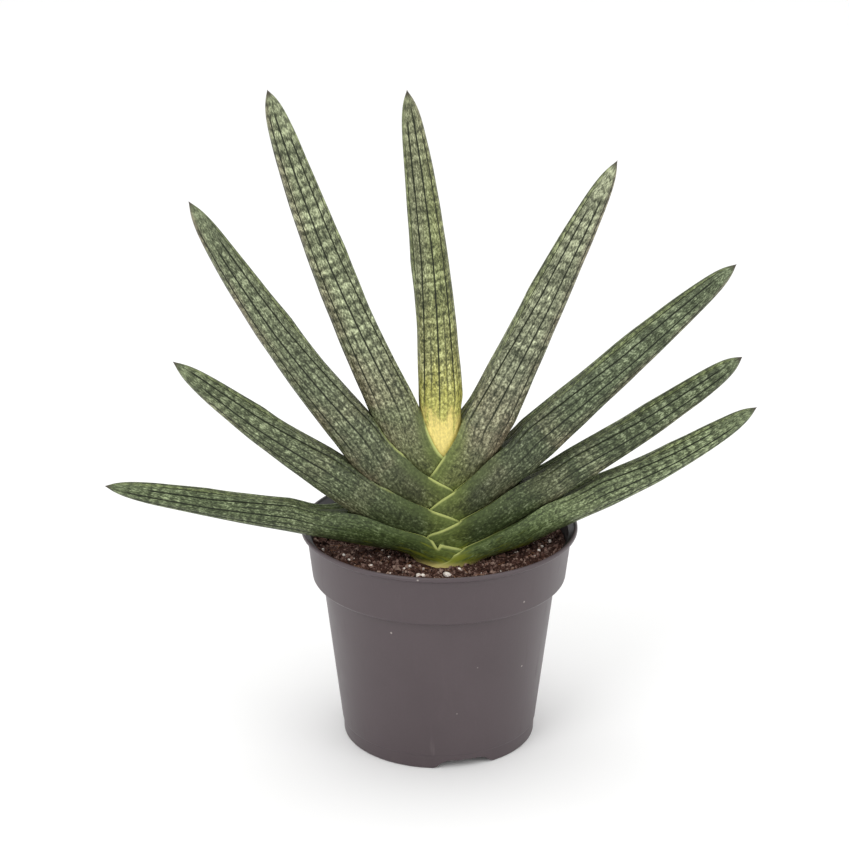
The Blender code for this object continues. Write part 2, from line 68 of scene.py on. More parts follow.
# The studio is a broad white floor, white light from all round, and three soft lamps: a large
# one from the upper left, a weaker one from the right and a wide one overhead. Colours are shown
# as they are, with no film curve, as in a catalogue photograph.
FLOOR_SIZE = 14.0
FLOOR_DROP = 0.2
FLOOR_WHITE = (0.9, 0.9, 0.895, 1.0)
FLOOR_ROUGHNESS = 0.9
ROOM_WHITE = (1.0, 1.0, 1.0, 1.0)
ROOM_LIGHT = 1.0
LAMPS = (
    dict(place=(-1.1, -1.5, 1.5), size=1.0, power=13.0),
    dict(place=(1.5, -1.0, 0.9), size=0.9, power=5.0),
    dict(place=(0.0, 0.5, 2.2), size=1.6, power=8.0),
)

bpy.context.scene.view_settings.view_transform = "Standard"
deselect()
bpy.ops.mesh.primitive_plane_add(size=FLOOR_SIZE, location=(0.0, 0.0, -FLOOR_DROP * MM))
studio_floor = bpy.context.object
studio_floor.name = "studio_floor"
floor_paint = bpy.data.materials.new("floor_paint")
floor_paint.use_nodes = True
floor_shader = floor_paint.node_tree.nodes["Principled BSDF"]
floor_shader.inputs["Base Color"].default_value = FLOOR_WHITE
floor_shader.inputs["Roughness"].default_value = FLOOR_ROUGHNESS
studio_floor.data.materials.append(floor_paint)

room = bpy.data.worlds.new("white_room")
room.use_nodes = True
room_glow = room.node_tree.nodes["Background"]
room_glow.inputs["Color"].default_value = ROOM_WHITE
room_glow.inputs["Strength"].default_value = ROOM_LIGHT
bpy.context.scene.world = room
for lamp_facts in LAMPS:
    place = Vector(lamp_facts["place"])
    facing = (CAMERA_AIM - place).to_track_quat("-Z", "Y").to_euler()
    bpy.ops.object.light_add(type="AREA", location=place, rotation=facing)
    lamp = bpy.context.object
    lamp.data.size = lamp_facts["size"]
    lamp.data.energy = lamp_facts["power"]

# The pot is one thin moulding of satin grey-brown plastic: a tapered wall, a deeper band with a
# lip at the top, and a foot ring with three cut-outs round a floor with drain holes. It is drawn
# ring by ring, from the pad under its floor up the outside, over the lip and down the inside.
POT_RADIUS = 60.0
POT_HEIGHT = 97.2
POT_WALL = 1.5
LIP_DROP = 2.0
LIP_EDGE = 0.5
LIP_UNDER_EDGE = 0.4
INNER_LIP_EDGE = (0.3, 1.2)
NECK_RADIUS = 57.5
NECK_DROP = 1.2
INNER_NECK_DROP = 1.0
BAND_FOOT_RADIUS = 55.2
BAND_FOOT_HEIGHT = 73.6
BAND_FILLET = ((-0.8, 0.0), (0.0, 1.0))
INNER_BAND_FILLET = (-0.6, 1.6)
BODY_TOP_RADIUS = 50.7
BODY_FILLET = ((0.0, -1.4), (0.3, -0.4))
INNER_BODY_DROP = 0.6
BODY_FOOT_RADIUS = 42.9
FOOT_RADIUS = 42.5
FOOT_HEIGHT = 6.0
FOOT_STEP = 0.5
FOOT_WIDTH = 2.4
FOOT_DRAFT = 0.3
FLOOR_UNDERSIDE = 4.8
FLOOR_TOP = 6.4
FLOOR_FILLET = (2.0, 2.5)
INNER_DRAFT = 0.1
PAD_RADIUS = 15.0
POT_SIDES = 192
POT_EDGE_ROUNDING = 0.3
POT_EDGE_ANGLE = 25.0
POT_SMOOTH_ANGLE = 30.0
NOTCH_ANGLES = (-75.0, 45.0, 165.0)
NOTCH_TOP_LENGTH = 17.6
NOTCH_FOOT_LENGTH = 25.6
NOTCH_HEIGHT = 3.6
NOTCH_DEPTH = 14.0
NOTCH_CORNER = 1.8
NOTCH_SKIRT_LENGTH = 35.84
BELOW_FOOT = 0.05
DRAIN_COUNT = 6
DRAIN_RADIUS = 4.0
DRAIN_CIRCLE = 27.0
DRAIN_SIDES = 48
PLASTIC_OUTSIDE = ((70, 60, 63), (81, 71, 74), (168, 160, 154))
# The inside copy is the same plastic made much darker: painted shade of the pot's inside.
PLASTIC_INSIDE_SHADED = ((24, 21, 22), (31, 28, 29), (90, 84, 78))
# A painted highlight: a pale upright streak low on the foot, where a moulding bulge at the front
# catches the light.
FOOT_HIGHLIGHT_LEFT = 2.5
FOOT_HIGHLIGHT_REACH = (2.0, 9.0)
FOOT_HIGHLIGHT_HEIGHT = (4.0, 18.0)
DRAG_SQUEEZE = 0.06
INSIDE_FACING = -0.3
POT_OUTSIDE = [
    (PAD_RADIUS, 0.0),
    (PAD_RADIUS, FLOOR_UNDERSIDE),
    (FOOT_RADIUS - FOOT_WIDTH, FLOOR_UNDERSIDE),
    (FOOT_RADIUS - FOOT_WIDTH, 0.0),
    (FOOT_RADIUS - FOOT_DRAFT, 0.0),
    (FOOT_RADIUS, FOOT_HEIGHT),
    (BODY_FOOT_RADIUS, FOOT_HEIGHT + FOOT_STEP),
    *[(BODY_TOP_RADIUS + out, BAND_FOOT_HEIGHT + up) for out, up in BODY_FILLET],
    *[(BAND_FOOT_RADIUS + out, BAND_FOOT_HEIGHT + up) for out, up in BAND_FILLET],
    (NECK_RADIUS, POT_HEIGHT - LIP_DROP - NECK_DROP),
    (POT_RADIUS - LIP_EDGE, POT_HEIGHT - LIP_DROP),
    (POT_RADIUS, POT_HEIGHT - LIP_DROP + LIP_UNDER_EDGE),
    (POT_RADIUS, POT_HEIGHT - LIP_EDGE),
    (POT_RADIUS - LIP_EDGE, POT_HEIGHT),
]
POT_INSIDE = [
    (POT_RADIUS - POT_WALL + INNER_LIP_EDGE[0], POT_HEIGHT),
    (POT_RADIUS - POT_WALL, POT_HEIGHT - INNER_LIP_EDGE[1]),
    (NECK_RADIUS - POT_WALL, POT_HEIGHT - LIP_DROP - INNER_NECK_DROP),
    (BAND_FOOT_RADIUS - POT_WALL + INNER_BAND_FILLET[0], BAND_FOOT_HEIGHT + INNER_BAND_FILLET[1]),
    (BODY_TOP_RADIUS - POT_WALL, BAND_FOOT_HEIGHT - INNER_BODY_DROP),
    (BODY_FOOT_RADIUS - POT_WALL + INNER_DRAFT, FLOOR_TOP + FLOOR_FILLET[1]),
    (BODY_FOOT_RADIUS - POT_WALL - FLOOR_FILLET[0], FLOOR_TOP),
]


class Wire:
    """A socket in a material. Arithmetic on it adds the Math nodes that work it out."""

    def __init__(self, tree, socket=None):
        self.tree = tree
        self.socket = socket

    def node(self, kind, settings=None, links=None, output=0):
        made = self.tree.nodes.new(kind)
        for key, value in (settings or {}).items():
            if key == "stops":
                for stop_place, _ in value[1:-1]:
                    made.color_ramp.elements.new(stop_place)
                for stop, (stop_place, colour) in zip(made.color_ramp.elements, value):
                    stop.position = stop_place
                    stop.color = colour
            else:
                setattr(made, key, value)
        for key, value in (links or {}).items():
            if isinstance(value, Wire):
                self.tree.links.new(value.socket, made.inputs[key])
            else:
                made.inputs[key].default_value = value
        return Wire(self.tree, made.outputs[output])

    def out(self, output):
        return Wire(self.tree, self.socket.node.outputs[output])

    def feed(self, name):
        """Link the socket to an input of the material's Principled shader."""
        shader = self.tree.nodes["Principled BSDF"]
        self.tree.links.new(self.socket, shader.inputs[name])

    def maths(self, operation, first, second=0.0):
        return self.node("ShaderNodeMath", {"operation": operation}, {0: first, 1: second})

    def __add__(self, other):
        return self.maths("ADD", self, other)

    __radd__ = __add__

    def __sub__(self, other):
        return self.maths("SUBTRACT", self, other)

    def __rsub__(self, other):
        return self.maths("SUBTRACT", other, self)

    def __mul__(self, other):
        return self.maths("MULTIPLY", self, other)

    __rmul__ = __mul__

    def __abs__(self):
        return self.maths("ABSOLUTE", self)

    def floor(self):
        return self.maths("FLOOR", self)

    def scaled(self, amount):
        """A colour made brighter or darker by a socket's amount."""
        return self.node("ShaderNodeVectorMath", {"operation": "SCALE"}, {0: self, "Scale": amount})

    def rise(self, low, high):
        """0 below low, 1 above high, and smooth between."""
        links = {0: self, 1: low, 2: high}
        return self.node("ShaderNodeMapRange", {"interpolation_type": "SMOOTHSTEP"}, links)

    def within(self, low, high):
        """1 below low and 0 above high, both in millimetres, and smooth between."""
        return 1.0 - self.rise(low * MM, high * MM)

    def mix(self, first, second):
        """The first colour where the socket is 0, and the second where it is 1."""
        return self.node("ShaderNodeMix", {"data_type": "RGBA"}, {0: self, 6: first, 7: second}, 2)

    def grain(self, vector, scale, detail=2.0, roughness=0.5):
        """Noise from 0 to 1, with the number of its lumps to the metre."""
        links = {"Vector": vector, "Scale": scale, "Detail": detail, "Roughness": roughness}
        return self.node("ShaderNodeTexNoise", {}, links)

    def split(self):
        """The X of a vector, whose Y and Z are on the same node."""
        return self.node("ShaderNodeSeparateXYZ", {}, {0: self})

    def drawn(self):
        """A random number from 0 to 1 for each value of the socket."""
        return self.node("ShaderNodeTexWhiteNoise", {"noise_dimensions": "1D"}, {"W": self})

    def raise_skin(self, strength, distance):
        """Bump the material's surface by the socket, up to a distance in millimetres."""
        links = {"Strength": strength, "Distance": distance * MM, "Height": self}
        self.node("ShaderNodeBump", {}, links).feed("Normal")


def paint(red, green, blue):
    """A colour in screen values from 0 to 255, as the linear values that shaders use."""
    return (*[(value / 255.0) ** 2.2 for value in (red, green, blue)], 1.0)


def new_finish(name, roughness, specular=0.5):
    """A material, the wire that its nodes are added from, and places on the object."""
    made = bpy.data.materials.new(name)
    made.use_nodes = True
    shader = made.node_tree.nodes["Principled BSDF"]
    shader.inputs["Roughness"].default_value = roughness
    shader.inputs["Specular IOR Level"].default_value = specular
    start = Wire(made.node_tree)
    return made, start, start.node("ShaderNodeTexCoord", output="Object")


def pot_finish(name, colour, hazed, speck_and_highlight):
    """Moulded plastic: faint clouds, upright drag marks, a fine grain, specks of dust, and a
    painted highlight low on the foot.
    """
    made, start, where = new_finish(name, 0.45)
    spot = where.split()
    height = spot.out("Z")
    links = {"X": spot, "Y": spot.out("Y"), "Z": height * DRAG_SQUEEZE}
    upright = start.node("ShaderNodeCombineXYZ", {}, links)
    drag = start.grain(upright, 330.0, 3.0, 0.6).rise(0.56, 0.74)
    clouds = start.grain(where, 30.0, 3.0).rise(0.35, 0.7)
    fine = start.grain(where, 900.0)
    cells = start.node("ShaderNodeTexVoronoi", {}, {"Vector": where, "Scale": 110.0})
    chosen = start.node("ShaderNodeSeparateColor", {}, {0: cells.out("Color")}).rise(0.72, 0.73)
    specks = (1.0 - cells.rise(0.035, 0.07)) * chosen
    # Painted highlight: the pale speck colour streaked upright low on the foot.
    foot_highlight = abs(spot + FOOT_HIGHLIGHT_LEFT * MM).within(*FOOT_HIGHLIGHT_REACH) * height.within(*FOOT_HIGHLIGHT_HEIGHT)
    shade = (clouds * 0.35 + fine * 0.3 + drag * 0.25).mix(colour, hazed)
    shade = (foot_highlight * drag * 0.15).mix(shade, speck_and_highlight)
    (specks * 0.8).mix(shade, speck_and_highlight).feed("Base Color")
    (0.4 + clouds * 0.08 + drag * 0.08 + specks * 0.3).feed("Roughness")
    skin = fine * 0.5 + drag * 0.2 + start.grain(where, 260.0) * 0.3
    skin.raise_skin(0.2, 0.1)
    return made


def face_outwards():
    """Turn all faces of the mesh outwards, and leave edit mode."""
    bpy.ops.mesh.select_all(action="SELECT")
    bpy.ops.mesh.normals_make_consistent(inside=False)
    bpy.ops.object.mode_set(mode="OBJECT")


def settle():
    """Move the active object's place, turn and scale into its mesh."""
    bpy.ops.object.transform_apply(location=True, rotation=True, scale=True)


def turn_solid(name, profile, sides):
    """A closed round solid: each ring is extruded from the one before, lifted and resized."""
    radius, height = profile[0]
    deselect()
    bpy.ops.mesh.primitive_circle_add(
        vertices=sides, radius=radius * MM, fill_type="NGON", location=(0.0, 0.0, height * MM)
    )
    solid = bpy.context.object
    solid.name = name
    settle()
    bpy.ops.object.mode_set(mode="EDIT")
    bpy.ops.mesh.select_all(action="SELECT")
    for next_radius, next_height in profile[1:]:
        lift = {"value": (0.0, 0.0, (next_height - height) * MM), "orient_type": "GLOBAL"}
        bpy.ops.mesh.extrude_region_move(TRANSFORM_OT_translate=lift)
        share = next_radius / radius
        bpy.ops.transform.resize(value=(share, share, 1.0), center_override=(0.0, 0.0, 0.0))
        radius, height = next_radius, next_height
    face_outwards()
    return solid


def pick(solid):
    """Select one object alone, and make it the active one."""
    deselect()
    bpy.context.view_layer.objects.active = solid
    solid.select_set(True)


def apply_modifier(solid, modifier):
    pick(solid)
    bpy.ops.object.modifier_apply(modifier=modifier.name)


def cut(solid, cutter):
    """Take one solid out of another."""
    boolean = solid.modifiers.new("cut", "BOOLEAN")
    boolean.operation = "DIFFERENCE"
    boolean.solver = "MANIFOLD"
    boolean.object = cutter
    apply_modifier(solid, boolean)


def dress(solid, *finishes):
    """Give a piece its materials, one for each slot."""
    solid.data.materials.clear()
    for finish in finishes:
        solid.data.materials.append(finish)


def smooth(solid, degrees):
    pick(solid)
    bpy.ops.object.shade_smooth_by_angle(angle=math.radians(degrees))


nursery_pot = turn_solid("nursery_pot", POT_OUTSIDE + POT_INSIDE, POT_SIDES)
rounding = nursery_pot.modifiers.new("rounding", "BEVEL")
rounding.width = POT_EDGE_ROUNDING * MM
rounding.segments = 3
rounding.limit_method = "ANGLE"
rounding.angle_limit = math.radians(POT_EDGE_ANGLE)
apply_modifier(nursery_pot, rounding)
half_top = 0.5 * NOTCH_TOP_LENGTH
half_foot = 0.5 * NOTCH_FOOT_LENGTH
half_skirt = 0.5 * NOTCH_SKIRT_LENGTH
notch_half = [(half_skirt, -NOTCH_HEIGHT), (half_skirt, -BELOW_FOOT),
              (half_foot, -BELOW_FOOT), (half_top, NOTCH_HEIGHT)]
corners = [(-y, z) for y, z in reversed(notch_half)] + notch_half
inner_end = FOOT_RADIUS - 0.5 * NOTCH_DEPTH
for angle in NOTCH_ANGLES:
    outline = [Vector((inner_end, y, z)) * MM for y, z in corners]
    notch_mesh = bpy.data.meshes.new("notch")
    notch_mesh.from_pydata(outline, [], [range(len(outline))])
    notch = bpy.data.objects.new("notch", notch_mesh)
    bpy.context.scene.collection.objects.link(notch)
    pick(notch)
    for vertex, (y, z) in zip(notch_mesh.vertices, corners):
        vertex.select = abs(y) <= half_foot
    bpy.ops.object.mode_set(mode="EDIT")
    bpy.ops.mesh.bevel(offset=NOTCH_CORNER * MM, segments=6, affect="VERTICES")
    bpy.ops.mesh.select_all(action="SELECT")
    bpy.ops.mesh.extrude_region_move(
        TRANSFORM_OT_translate={"value": (NOTCH_DEPTH * MM, 0.0, 0.0), "orient_type": "GLOBAL"}
    )
    face_outwards()
    notch.rotation_euler.z = math.radians(angle)
    settle()
    cut(nursery_pot, notch)
    bpy.data.objects.remove(notch)
for index in range(DRAIN_COUNT):
    angle = 2.0 * math.pi * (index + 0.5) / DRAIN_COUNT
    middle = Vector((math.cos(angle), math.sin(angle), 0.0)) * DRAIN_CIRCLE * MM
    deselect()
    bpy.ops.mesh.primitive_cylinder_add(vertices=DRAIN_SIDES, radius=DRAIN_RADIUS * MM,
                                        depth=4.0 * FLOOR_TOP * MM, location=middle)
    drain = bpy.context.object
    settle()
    cut(nursery_pot, drain)
    bpy.data.objects.remove(drain)
smooth(nursery_pot, POT_SMOOTH_ANGLE)
dress(
    nursery_pot,
    pot_finish("pot_outside", *[paint(*shade) for shade in PLASTIC_OUTSIDE]),
    pot_finish("pot_inside_shaded", *[paint(*shade) for shade in PLASTIC_INSIDE_SHADED]),
)
# Inward faces above the floor take the darker copy: painted shade inside the pot.
for face in nursery_pot.data.polygons:
    outward = Vector((face.center.x, face.center.y, 0.0)).normalized()
    if face.normal.dot(outward) < INSIDE_FACING and face.center.z > FLOOR_TOP * MM:
        face.material_index = 1
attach(nursery_pot, "root")
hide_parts("pot")

# The leaves grow in one flat fan from a short stem. Each is a round, stiff, waxy blade on a flat
# sheath whose two margins clasp the younger leaves, so every leaf is lofted whole from its own
# sections and then hollowed by the younger ones. Oldest leaf first; fan points are (u, z).
FAN_ORIGIN = Vector((1.5, -7.4, 85.0))
FAN_TURN = math.radians(8.0)
RING = 24
CORNER = 8
GROOVE_COUNT = 22
GROOVE_PITCH = RING / GROOVE_COUNT
GROOVE_SHIFT = 0.7
GROOVE_STATIONS = (0.0, 0.12, 0.35, 0.65, 0.88)
COLLAR_CORNER_ANGLE = 154.0
BLADE_CORNER_ANGLE = 135.0
BLADE_DEPTH = 0.93
GROOVE_DEPTH = 0.32
GROOVE_HALF_WIDTH = 0.12
GROOVE_OPENING = 8.0
GROOVE_DRIFT = 2.4
MAIN_GROOVE_START = (3.0, 16.0)
HALF_GROOVE_START = (0.45, 0.3)
HALF_GROOVE_DEPTH = 0.5
STRIP_CROWN = 0.12
SKIN_WAVES = 0.2
WAVE_LENGTH = 13.0
LEAF_SHIFT = 31.0
TIP_LENGTH = 3.6
BLADE_STEPS = 84
BLADE_CROWDING = 1.8
CHANNEL_FADE = 0.45
OUTER_SHEATH_DEPTH = 17.2
SHEATH_PITCH = 1.2
SHEATH_CLEARANCE = 0.4
ROOM_FOOT_DEPTH = 1.5
FIRST_BLADE_KEY = 0.12
RIM_STEP = 0.4 * MM
RIM_FAR = 20.0 * MM
TORN_LEAF = "leaf_left_1"
TEAR_PLACE = (-4.5, -17.0, 12.6)
TEAR_RADIUS = 2.6
TEAR_DEPTH = 8.0
LEAF_SMOOTH_ANGLE = 50.0
CORNER_ANGLES = (128, 126, 116, 103, 100, 104, 124, 147)
CENTRE_CORNER_ANGLES = (128, 130, 136, 142, 147, 150, 152, 154)
BLADE_SHARE = (0.0, 0.0, 0.0, 0.02, 0.12, 0.38, 0.68, 0.9)
CHANNEL = (0.0, 0.0, 0.0, 0.0, -1.0, -2.0, -2.0, -1.5)
GROOVES = (0.0, 0.0, 0.0, 0.0, 0.0, 0.25, 0.5, 0.8)
SHEATH_STEPS = (5, 5, 5, 5, 7, 8, 9, 8)
COLLAR_CHANNEL = -0.9
LEAVES = (
    dict(name="leaf_right_1", side=1, collar=(71.7, 27.0), width=15.6, taper=0.35,
         tip=(137.9, 60.2), bow=-1.4, lean=3.0,
         blade=(98, 108, 78), sheath=(84, 98, 60), bands=0.75, blush=0.1,
         keel=((13.9, -12), (14.0, -3.5), (15.2, -1.4), (17.4, -0.2),
               (22.5, 1.0), (35.0, 3.6), (50.0, 9.9), (62.0, 14.9)),
         margin=((-9.0, -12), (-6.8, 0.6), (-1.9, 4.5), (6.6, 8.6),
                 (16.5, 12.2), (29.5, 17.8), (43.0, 24.4), (55.8, 27.4))),
    dict(name="leaf_left_1", side=-1, collar=(-67.1, 23.1), width=14.8, taper=0.35,
         tip=(-143.4, 41.4), bow=0.4, lean=-3.0,
         blade=(80, 90, 62), sheath=(67, 80, 45), bands=0.6, blush=0.1,
         keel=((-12.2, -12), (-12.3, -2.5), (-12.8, -0.3), (-14.3, 1.6),
               (-18.0, 3.9), (-26.5, 5.9), (-39.5, 8.6), (-53.5, 12.3)),
         margin=((7.4, -12), (8.0, 3.0), (6.7, 8.0), (-3.5, 11.9),
                 (-11.5, 15.6), (-22.0, 18.8), (-37.3, 24.2), (-52.6, 25.4))),
    dict(name="leaf_right_2", side=1, collar=(59.4, 39.6), width=16.5, taper=0.29,
         tip=(128.5, 85.6), bow=-1.2, lean=-3.0,
         blade=(76, 85, 60), sheath=(60, 70, 42), bands=0.75, blush=0.3,
         keel=((11.6, -12), (11.8, -2.5), (13.0, 1.2), (15.5, 3.2),
               (19.8, 6.0), (27.5, 10.4), (38.5, 17.0), (50.5, 24.6)),
         margin=((-7.0, -12), (-7.6, 4.0), (-9.0, 14.0), (-2.0, 17.8),
                 (8.0, 22.2), (17.5, 26.6), (28.2, 32.3), (42.3, 37.8))),
    dict(name="leaf_left_2", side=-1, collar=(-52.4, 44.5), width=18.5, taper=0.44,
         tip=(-113.0, 92.9), bow=0.7, lean=3.0,
         blade=(88, 96, 70), sheath=(63, 72, 45), bands=0.6, blush=0.25,
         keel=((-9.9, -12), (-10.2, -3.0), (-11.6, 1.2), (-14.6, 4.4),
               (-19.5, 7.6), (-27.5, 13.0), (-37.5, 20.5), (-48.0, 29.0)),
         margin=((7.0, -12), (7.4, 6.0), (7.6, 17.5), (2.0, 22.6),
                 (-8.0, 27.0), (-17.5, 31.6), (-26.5, 36.6), (-37.0, 43.6))),
    dict(name="leaf_right_3", side=1, collar=(40.9, 53.0), width=20.5, taper=0.39,
         tip=(126.1, 124.8), bow=0.8, lean=4.0,
         blade=(80, 89, 65), sheath=(66, 71, 50), bands=0.5, blush=0.5,
         keel=((9.3, -12), (9.6, -1.0), (10.8, 6.0), (13.2, 11.0),
               (17.4, 17.2), (24.0, 24.4), (32.5, 32.3), (40.5, 39.4)),
         margin=((-6.6, -12), (-7.4, 9.0), (-9.4, 22.0), (-4.2, 29.2),
                 (4.2, 34.8), (11.0, 40.3), (18.8, 46.8), (28.2, 53.0))),
    dict(name="leaf_left_3", side=-1, collar=(-38.1, 60.8), width=20.9, taper=0.43,
         tip=(-104.3, 162.8), bow=2.4, lean=-4.0,
         blade=(97, 104, 79), sheath=(70, 74, 49), bands=0.5, blush=0.6,
         keel=((-7.6, -12), (-8.2, -1.0), (-10.2, 6.4), (-13.8, 12.0),
               (-19.0, 18.6), (-25.5, 26.0), (-33.0, 35.2), (-40.0, 44.8)),
         margin=((7.2, -12), (7.6, 9.0), (6.8, 25.0), (3.4, 33.4),
                 (-4.5, 39.0), (-11.0, 43.4), (-17.0, 49.4), (-23.4, 57.0))),
    dict(name="leaf_right_4", side=1, collar=(21.4, 66.9), width=22.6, taper=0.45,
         tip=(71.4, 173.6), bow=0.4, lean=-4.0,
         blade=(115, 119, 95), sheath=(82, 85, 56), bands=0.75, blush=0.7,
         keel=((7.0, -12), (7.6, 4.0), (9.4, 14.0), (12.2, 22.6),
               (15.6, 31.0), (19.2, 38.8), (23.4, 46.8), (27.6, 54.8)),
         margin=((-6.2, -12), (-6.8, 10.0), (-8.0, 30.0), (-7.6, 38.4),
                 (-4.6, 44.0), (-1.3, 49.1), (3.8, 56.4), (7.6, 64.0))),
    dict(name="leaf_left_4", side=-1, collar=(-25.8, 80.9), width=20.2, taper=0.34,
         tip=(-71.0, 205.4), bow=2.1, lean=4.0,
         blade=(109, 115, 88), sheath=(90, 95, 62), bands=0.9, blush=0.5,
         keel=((-5.3, -12), (-6.0, 4.0), (-8.4, 15.0), (-12.0, 24.6),
               (-16.2, 33.6), (-21.3, 44.4), (-26.0, 54.6), (-30.8, 65.8)),
         margin=((5.2, -12), (5.6, 12.0), (5.4, 32.0), (3.8, 41.5),
                 (0.2, 47.2), (-3.4, 51.8), (-6.8, 58.7), (-10.6, 69.8))),
    dict(name="leaf_centre", side=1, collar=(-1.5, 74.4), width=19.6, taper=0.37,
         tip=(-15.4, 205.0), bow=-1.8, lean=-2.0,
         blade=(102, 105, 79), sheath=(138, 138, 98), bands=0.6, blush=0.3,
         keel=((4.4, -12), (4.8, 6.0), (5.6, 20.0), (6.4, 32.0),
               (7.0, 43.0), (7.6, 53.0), (7.7, 61.0), (7.6, 68.0)),
         margin=((-3.4, -12), (-3.8, 6.0), (-4.4, 20.0), (-5.2, 32.0),
                 (-7.0, 43.0), (-9.2, 52.6), (-9.8, 60.4), (-10.0, 67.4))),
)

# The skin of a leaf: speckles and uneven cross-bands over its own two greens, a brown blush on
# its keel, and a pale rim where it clasps. Zones are heights above the floor, and the centre
# leaf, the youngest, is cream and yellow low down.
BAND_PITCH = 4.9
DARK_RING_PITCH = 18.0
GRAIN_RADIUS = 8.5
GRAIN_SHIFT = 0.37
BAND_STRENGTH = 1.5
DARK_RING_STRENGTH = 0.5
MOTTLE_STRENGTH = 3.0
SPECKLE_STRENGTH = 7.5
STREAK_STRENGTH = 2.2
CLOUD_STRENGTH = 1.2
# How strongly painted shade darkens the keel and the middle of the channel.
EDGE_SHADE_STRENGTH = 0.7
CROWN_REACH = (12.0, 34.0)
FOLD_REACH = (3.0, 13.0)
RIM_REACH = (2.0, 7.0)
RIM_LINE = (0.35, 1.25)
RIM_THINNING = 0.25
GROOVE_LINE = (0.12, 0.45)
HALF_GROOVE_STRENGTH = 0.65
FINE_GROOVE_START = (0.86, 0.3)
FINE_GROOVE_STRENGTH = 0.35
TIP_REACH = (0.8, 4.0)
FOOT_CREAM_ZONE = (85.5, 89.5)
FOOT_YELLOW_ZONE = (86.0, 94.0)
CENTRE_CREAM_ZONE = (146.0, 158.0)
CENTRE_PLAIN_ZONE = (150.0, 176.0)
CENTRE_YELLOW_ZONE = (156.0, 180.0)
CENTRE_OLIVE_ZONE = (170.0, 215.0)
CREST_GREEN = paint(98, 108, 60)
KEEL_BROWN = paint(102, 90, 74)
COLLAR_BROWN = paint(104, 90, 72)
MARGIN_GREEN = paint(78, 92, 48)
FOLD_GREEN = paint(118, 130, 58)
RIM_GREEN = paint(180, 188, 112)
PALE_FLECK = paint(164, 168, 146)
DARK_FLECK = paint(44, 54, 24)
GROOVE_GREEN = paint(26, 32, 13)
TIP_BROWN = paint(64, 58, 48)
FOOT_YELLOW = paint(118, 126, 44)
FOOT_CREAM = paint(206, 190, 120)
CENTRE_OLIVE = paint(150, 148, 92)
CENTRE_YELLOW = paint(160, 158, 84)
CENTRE_CREAM = paint(226, 208, 124)
LINING_DULL = paint(120, 134, 74)
LINING_BRIGHT = paint(166, 172, 104)


def between_keys(keys, index, share):
    """A smooth curve that passes through every key row, read between two of them."""
    before = keys[max(index - 1, 0)]
    first = keys[index]
    second = keys[index + 1]
    after = keys[min(index + 2, len(keys) - 1)]
    row = []
    for a, b, c, d in zip(before, first, second, after):
        square = 2.0 * a - 5.0 * b + 4.0 * c - d
        cube = 3.0 * (b - c) + d - a
        row.append(b + 0.5 * share * (c - a + share * (square + share * cube)))
    return row


def blade_row(leaf, share):
    """The blade's section at a share of the way from the collar to the tip."""
    collar = Vector(leaf["collar"])
    tip = Vector(leaf["tip"])
    length = (tip - collar).length
    axis = (tip - collar) / length
    across = Vector((-axis.y, axis.x))
    middle = collar.lerp(tip, share) + across * leaf["bow"] * 4.0 * share * (1.0 - share)
    point = 1.0 - math.exp(-length * (1.0 - share) / TIP_LENGTH)
    point /= 1.0 - math.exp(-length / TIP_LENGTH)
    radius = 0.5 * leaf["width"] * (1.0 - share) ** leaf["taper"] * point
    to_margin = across * leaf["side"]
    fade = min(share / CHANNEL_FADE, 1.0)
    corner_angle = COLLAR_CORNER_ANGLE + (BLADE_CORNER_ANGLE - COLLAR_CORNER_ANGLE) * fade
    keel = middle - to_margin * radius
    margin = middle - to_margin * radius * math.cos(math.radians(corner_angle))
    round_top = radius * (1.0 + math.cos(math.radians(corner_angle)))
    channel = COLLAR_CHANNEL + (round_top - COLLAR_CHANNEL) * fade
    groove = (1.0 - share) ** leaf["taper"] * point
    lean = leaf["lean"] * share * share
    return [*keel, *margin, radius * BLADE_DEPTH, corner_angle, channel, groove, lean]


def leaf_rows(leaf, order):
    """All sections of a leaf, from the foot of its sheath to its tip."""
    sheath_depth = OUTER_SHEATH_DEPTH - SHEATH_PITCH * order
    collar = blade_row(leaf, 0.0)
    corner_angles = CENTRE_CORNER_ANGLES if leaf is LEAVES[-1] else CORNER_ANGLES
    keys = []
    for index, (keel, margin) in enumerate(zip(leaf["keel"], leaf["margin"])):
        depth = sheath_depth + (collar[4] - sheath_depth) * BLADE_SHARE[index]
        form = [depth, corner_angles[index], CHANNEL[index], GROOVES[index], 0.0]
        keys.append([*keel, *margin, *form])
    keys.append(collar)
    keys.append(blade_row(leaf, FIRST_BLADE_KEY))
    rows = []
    for index, steps in enumerate(SHEATH_STEPS):
        rows += [between_keys(keys, index, step / steps) for step in range(steps)]
    for step in range(BLADE_STEPS + 1):
        rows.append(blade_row(leaf, 1.0 - (1.0 - step / BLADE_STEPS) ** BLADE_CROWDING))
    return rows


def leaf_distances(leaf, rows):
    """How far each section is from the collar, below it as less than 0, and from the tip."""
    middles = [Vector((0.5 * (row[0] + row[2]), 0.5 * (row[1] + row[3]))) for row in rows]
    run = [0.0]
    for first, second in zip(middles, middles[1:]):
        run.append(run[-1] + (second - first).length)
    collar_run = run[sum(SHEATH_STEPS)]
    return [distance - collar_run for distance in run], [run[-1] - distance for distance in run]


def groove_start(line, order, blade_length):
    """How far from the tip a groove begins: every other one about half-way down the blade."""
    drift = 0.5 + 0.5 * math.sin(GROOVE_DRIFT * line + order)
    if line % 2 == 0:
        return MAIN_GROOVE_START[0] + MAIN_GROOVE_START[1] * drift
    return blade_length * (HALF_GROOVE_START[0] + HALF_GROOVE_START[1] * drift)


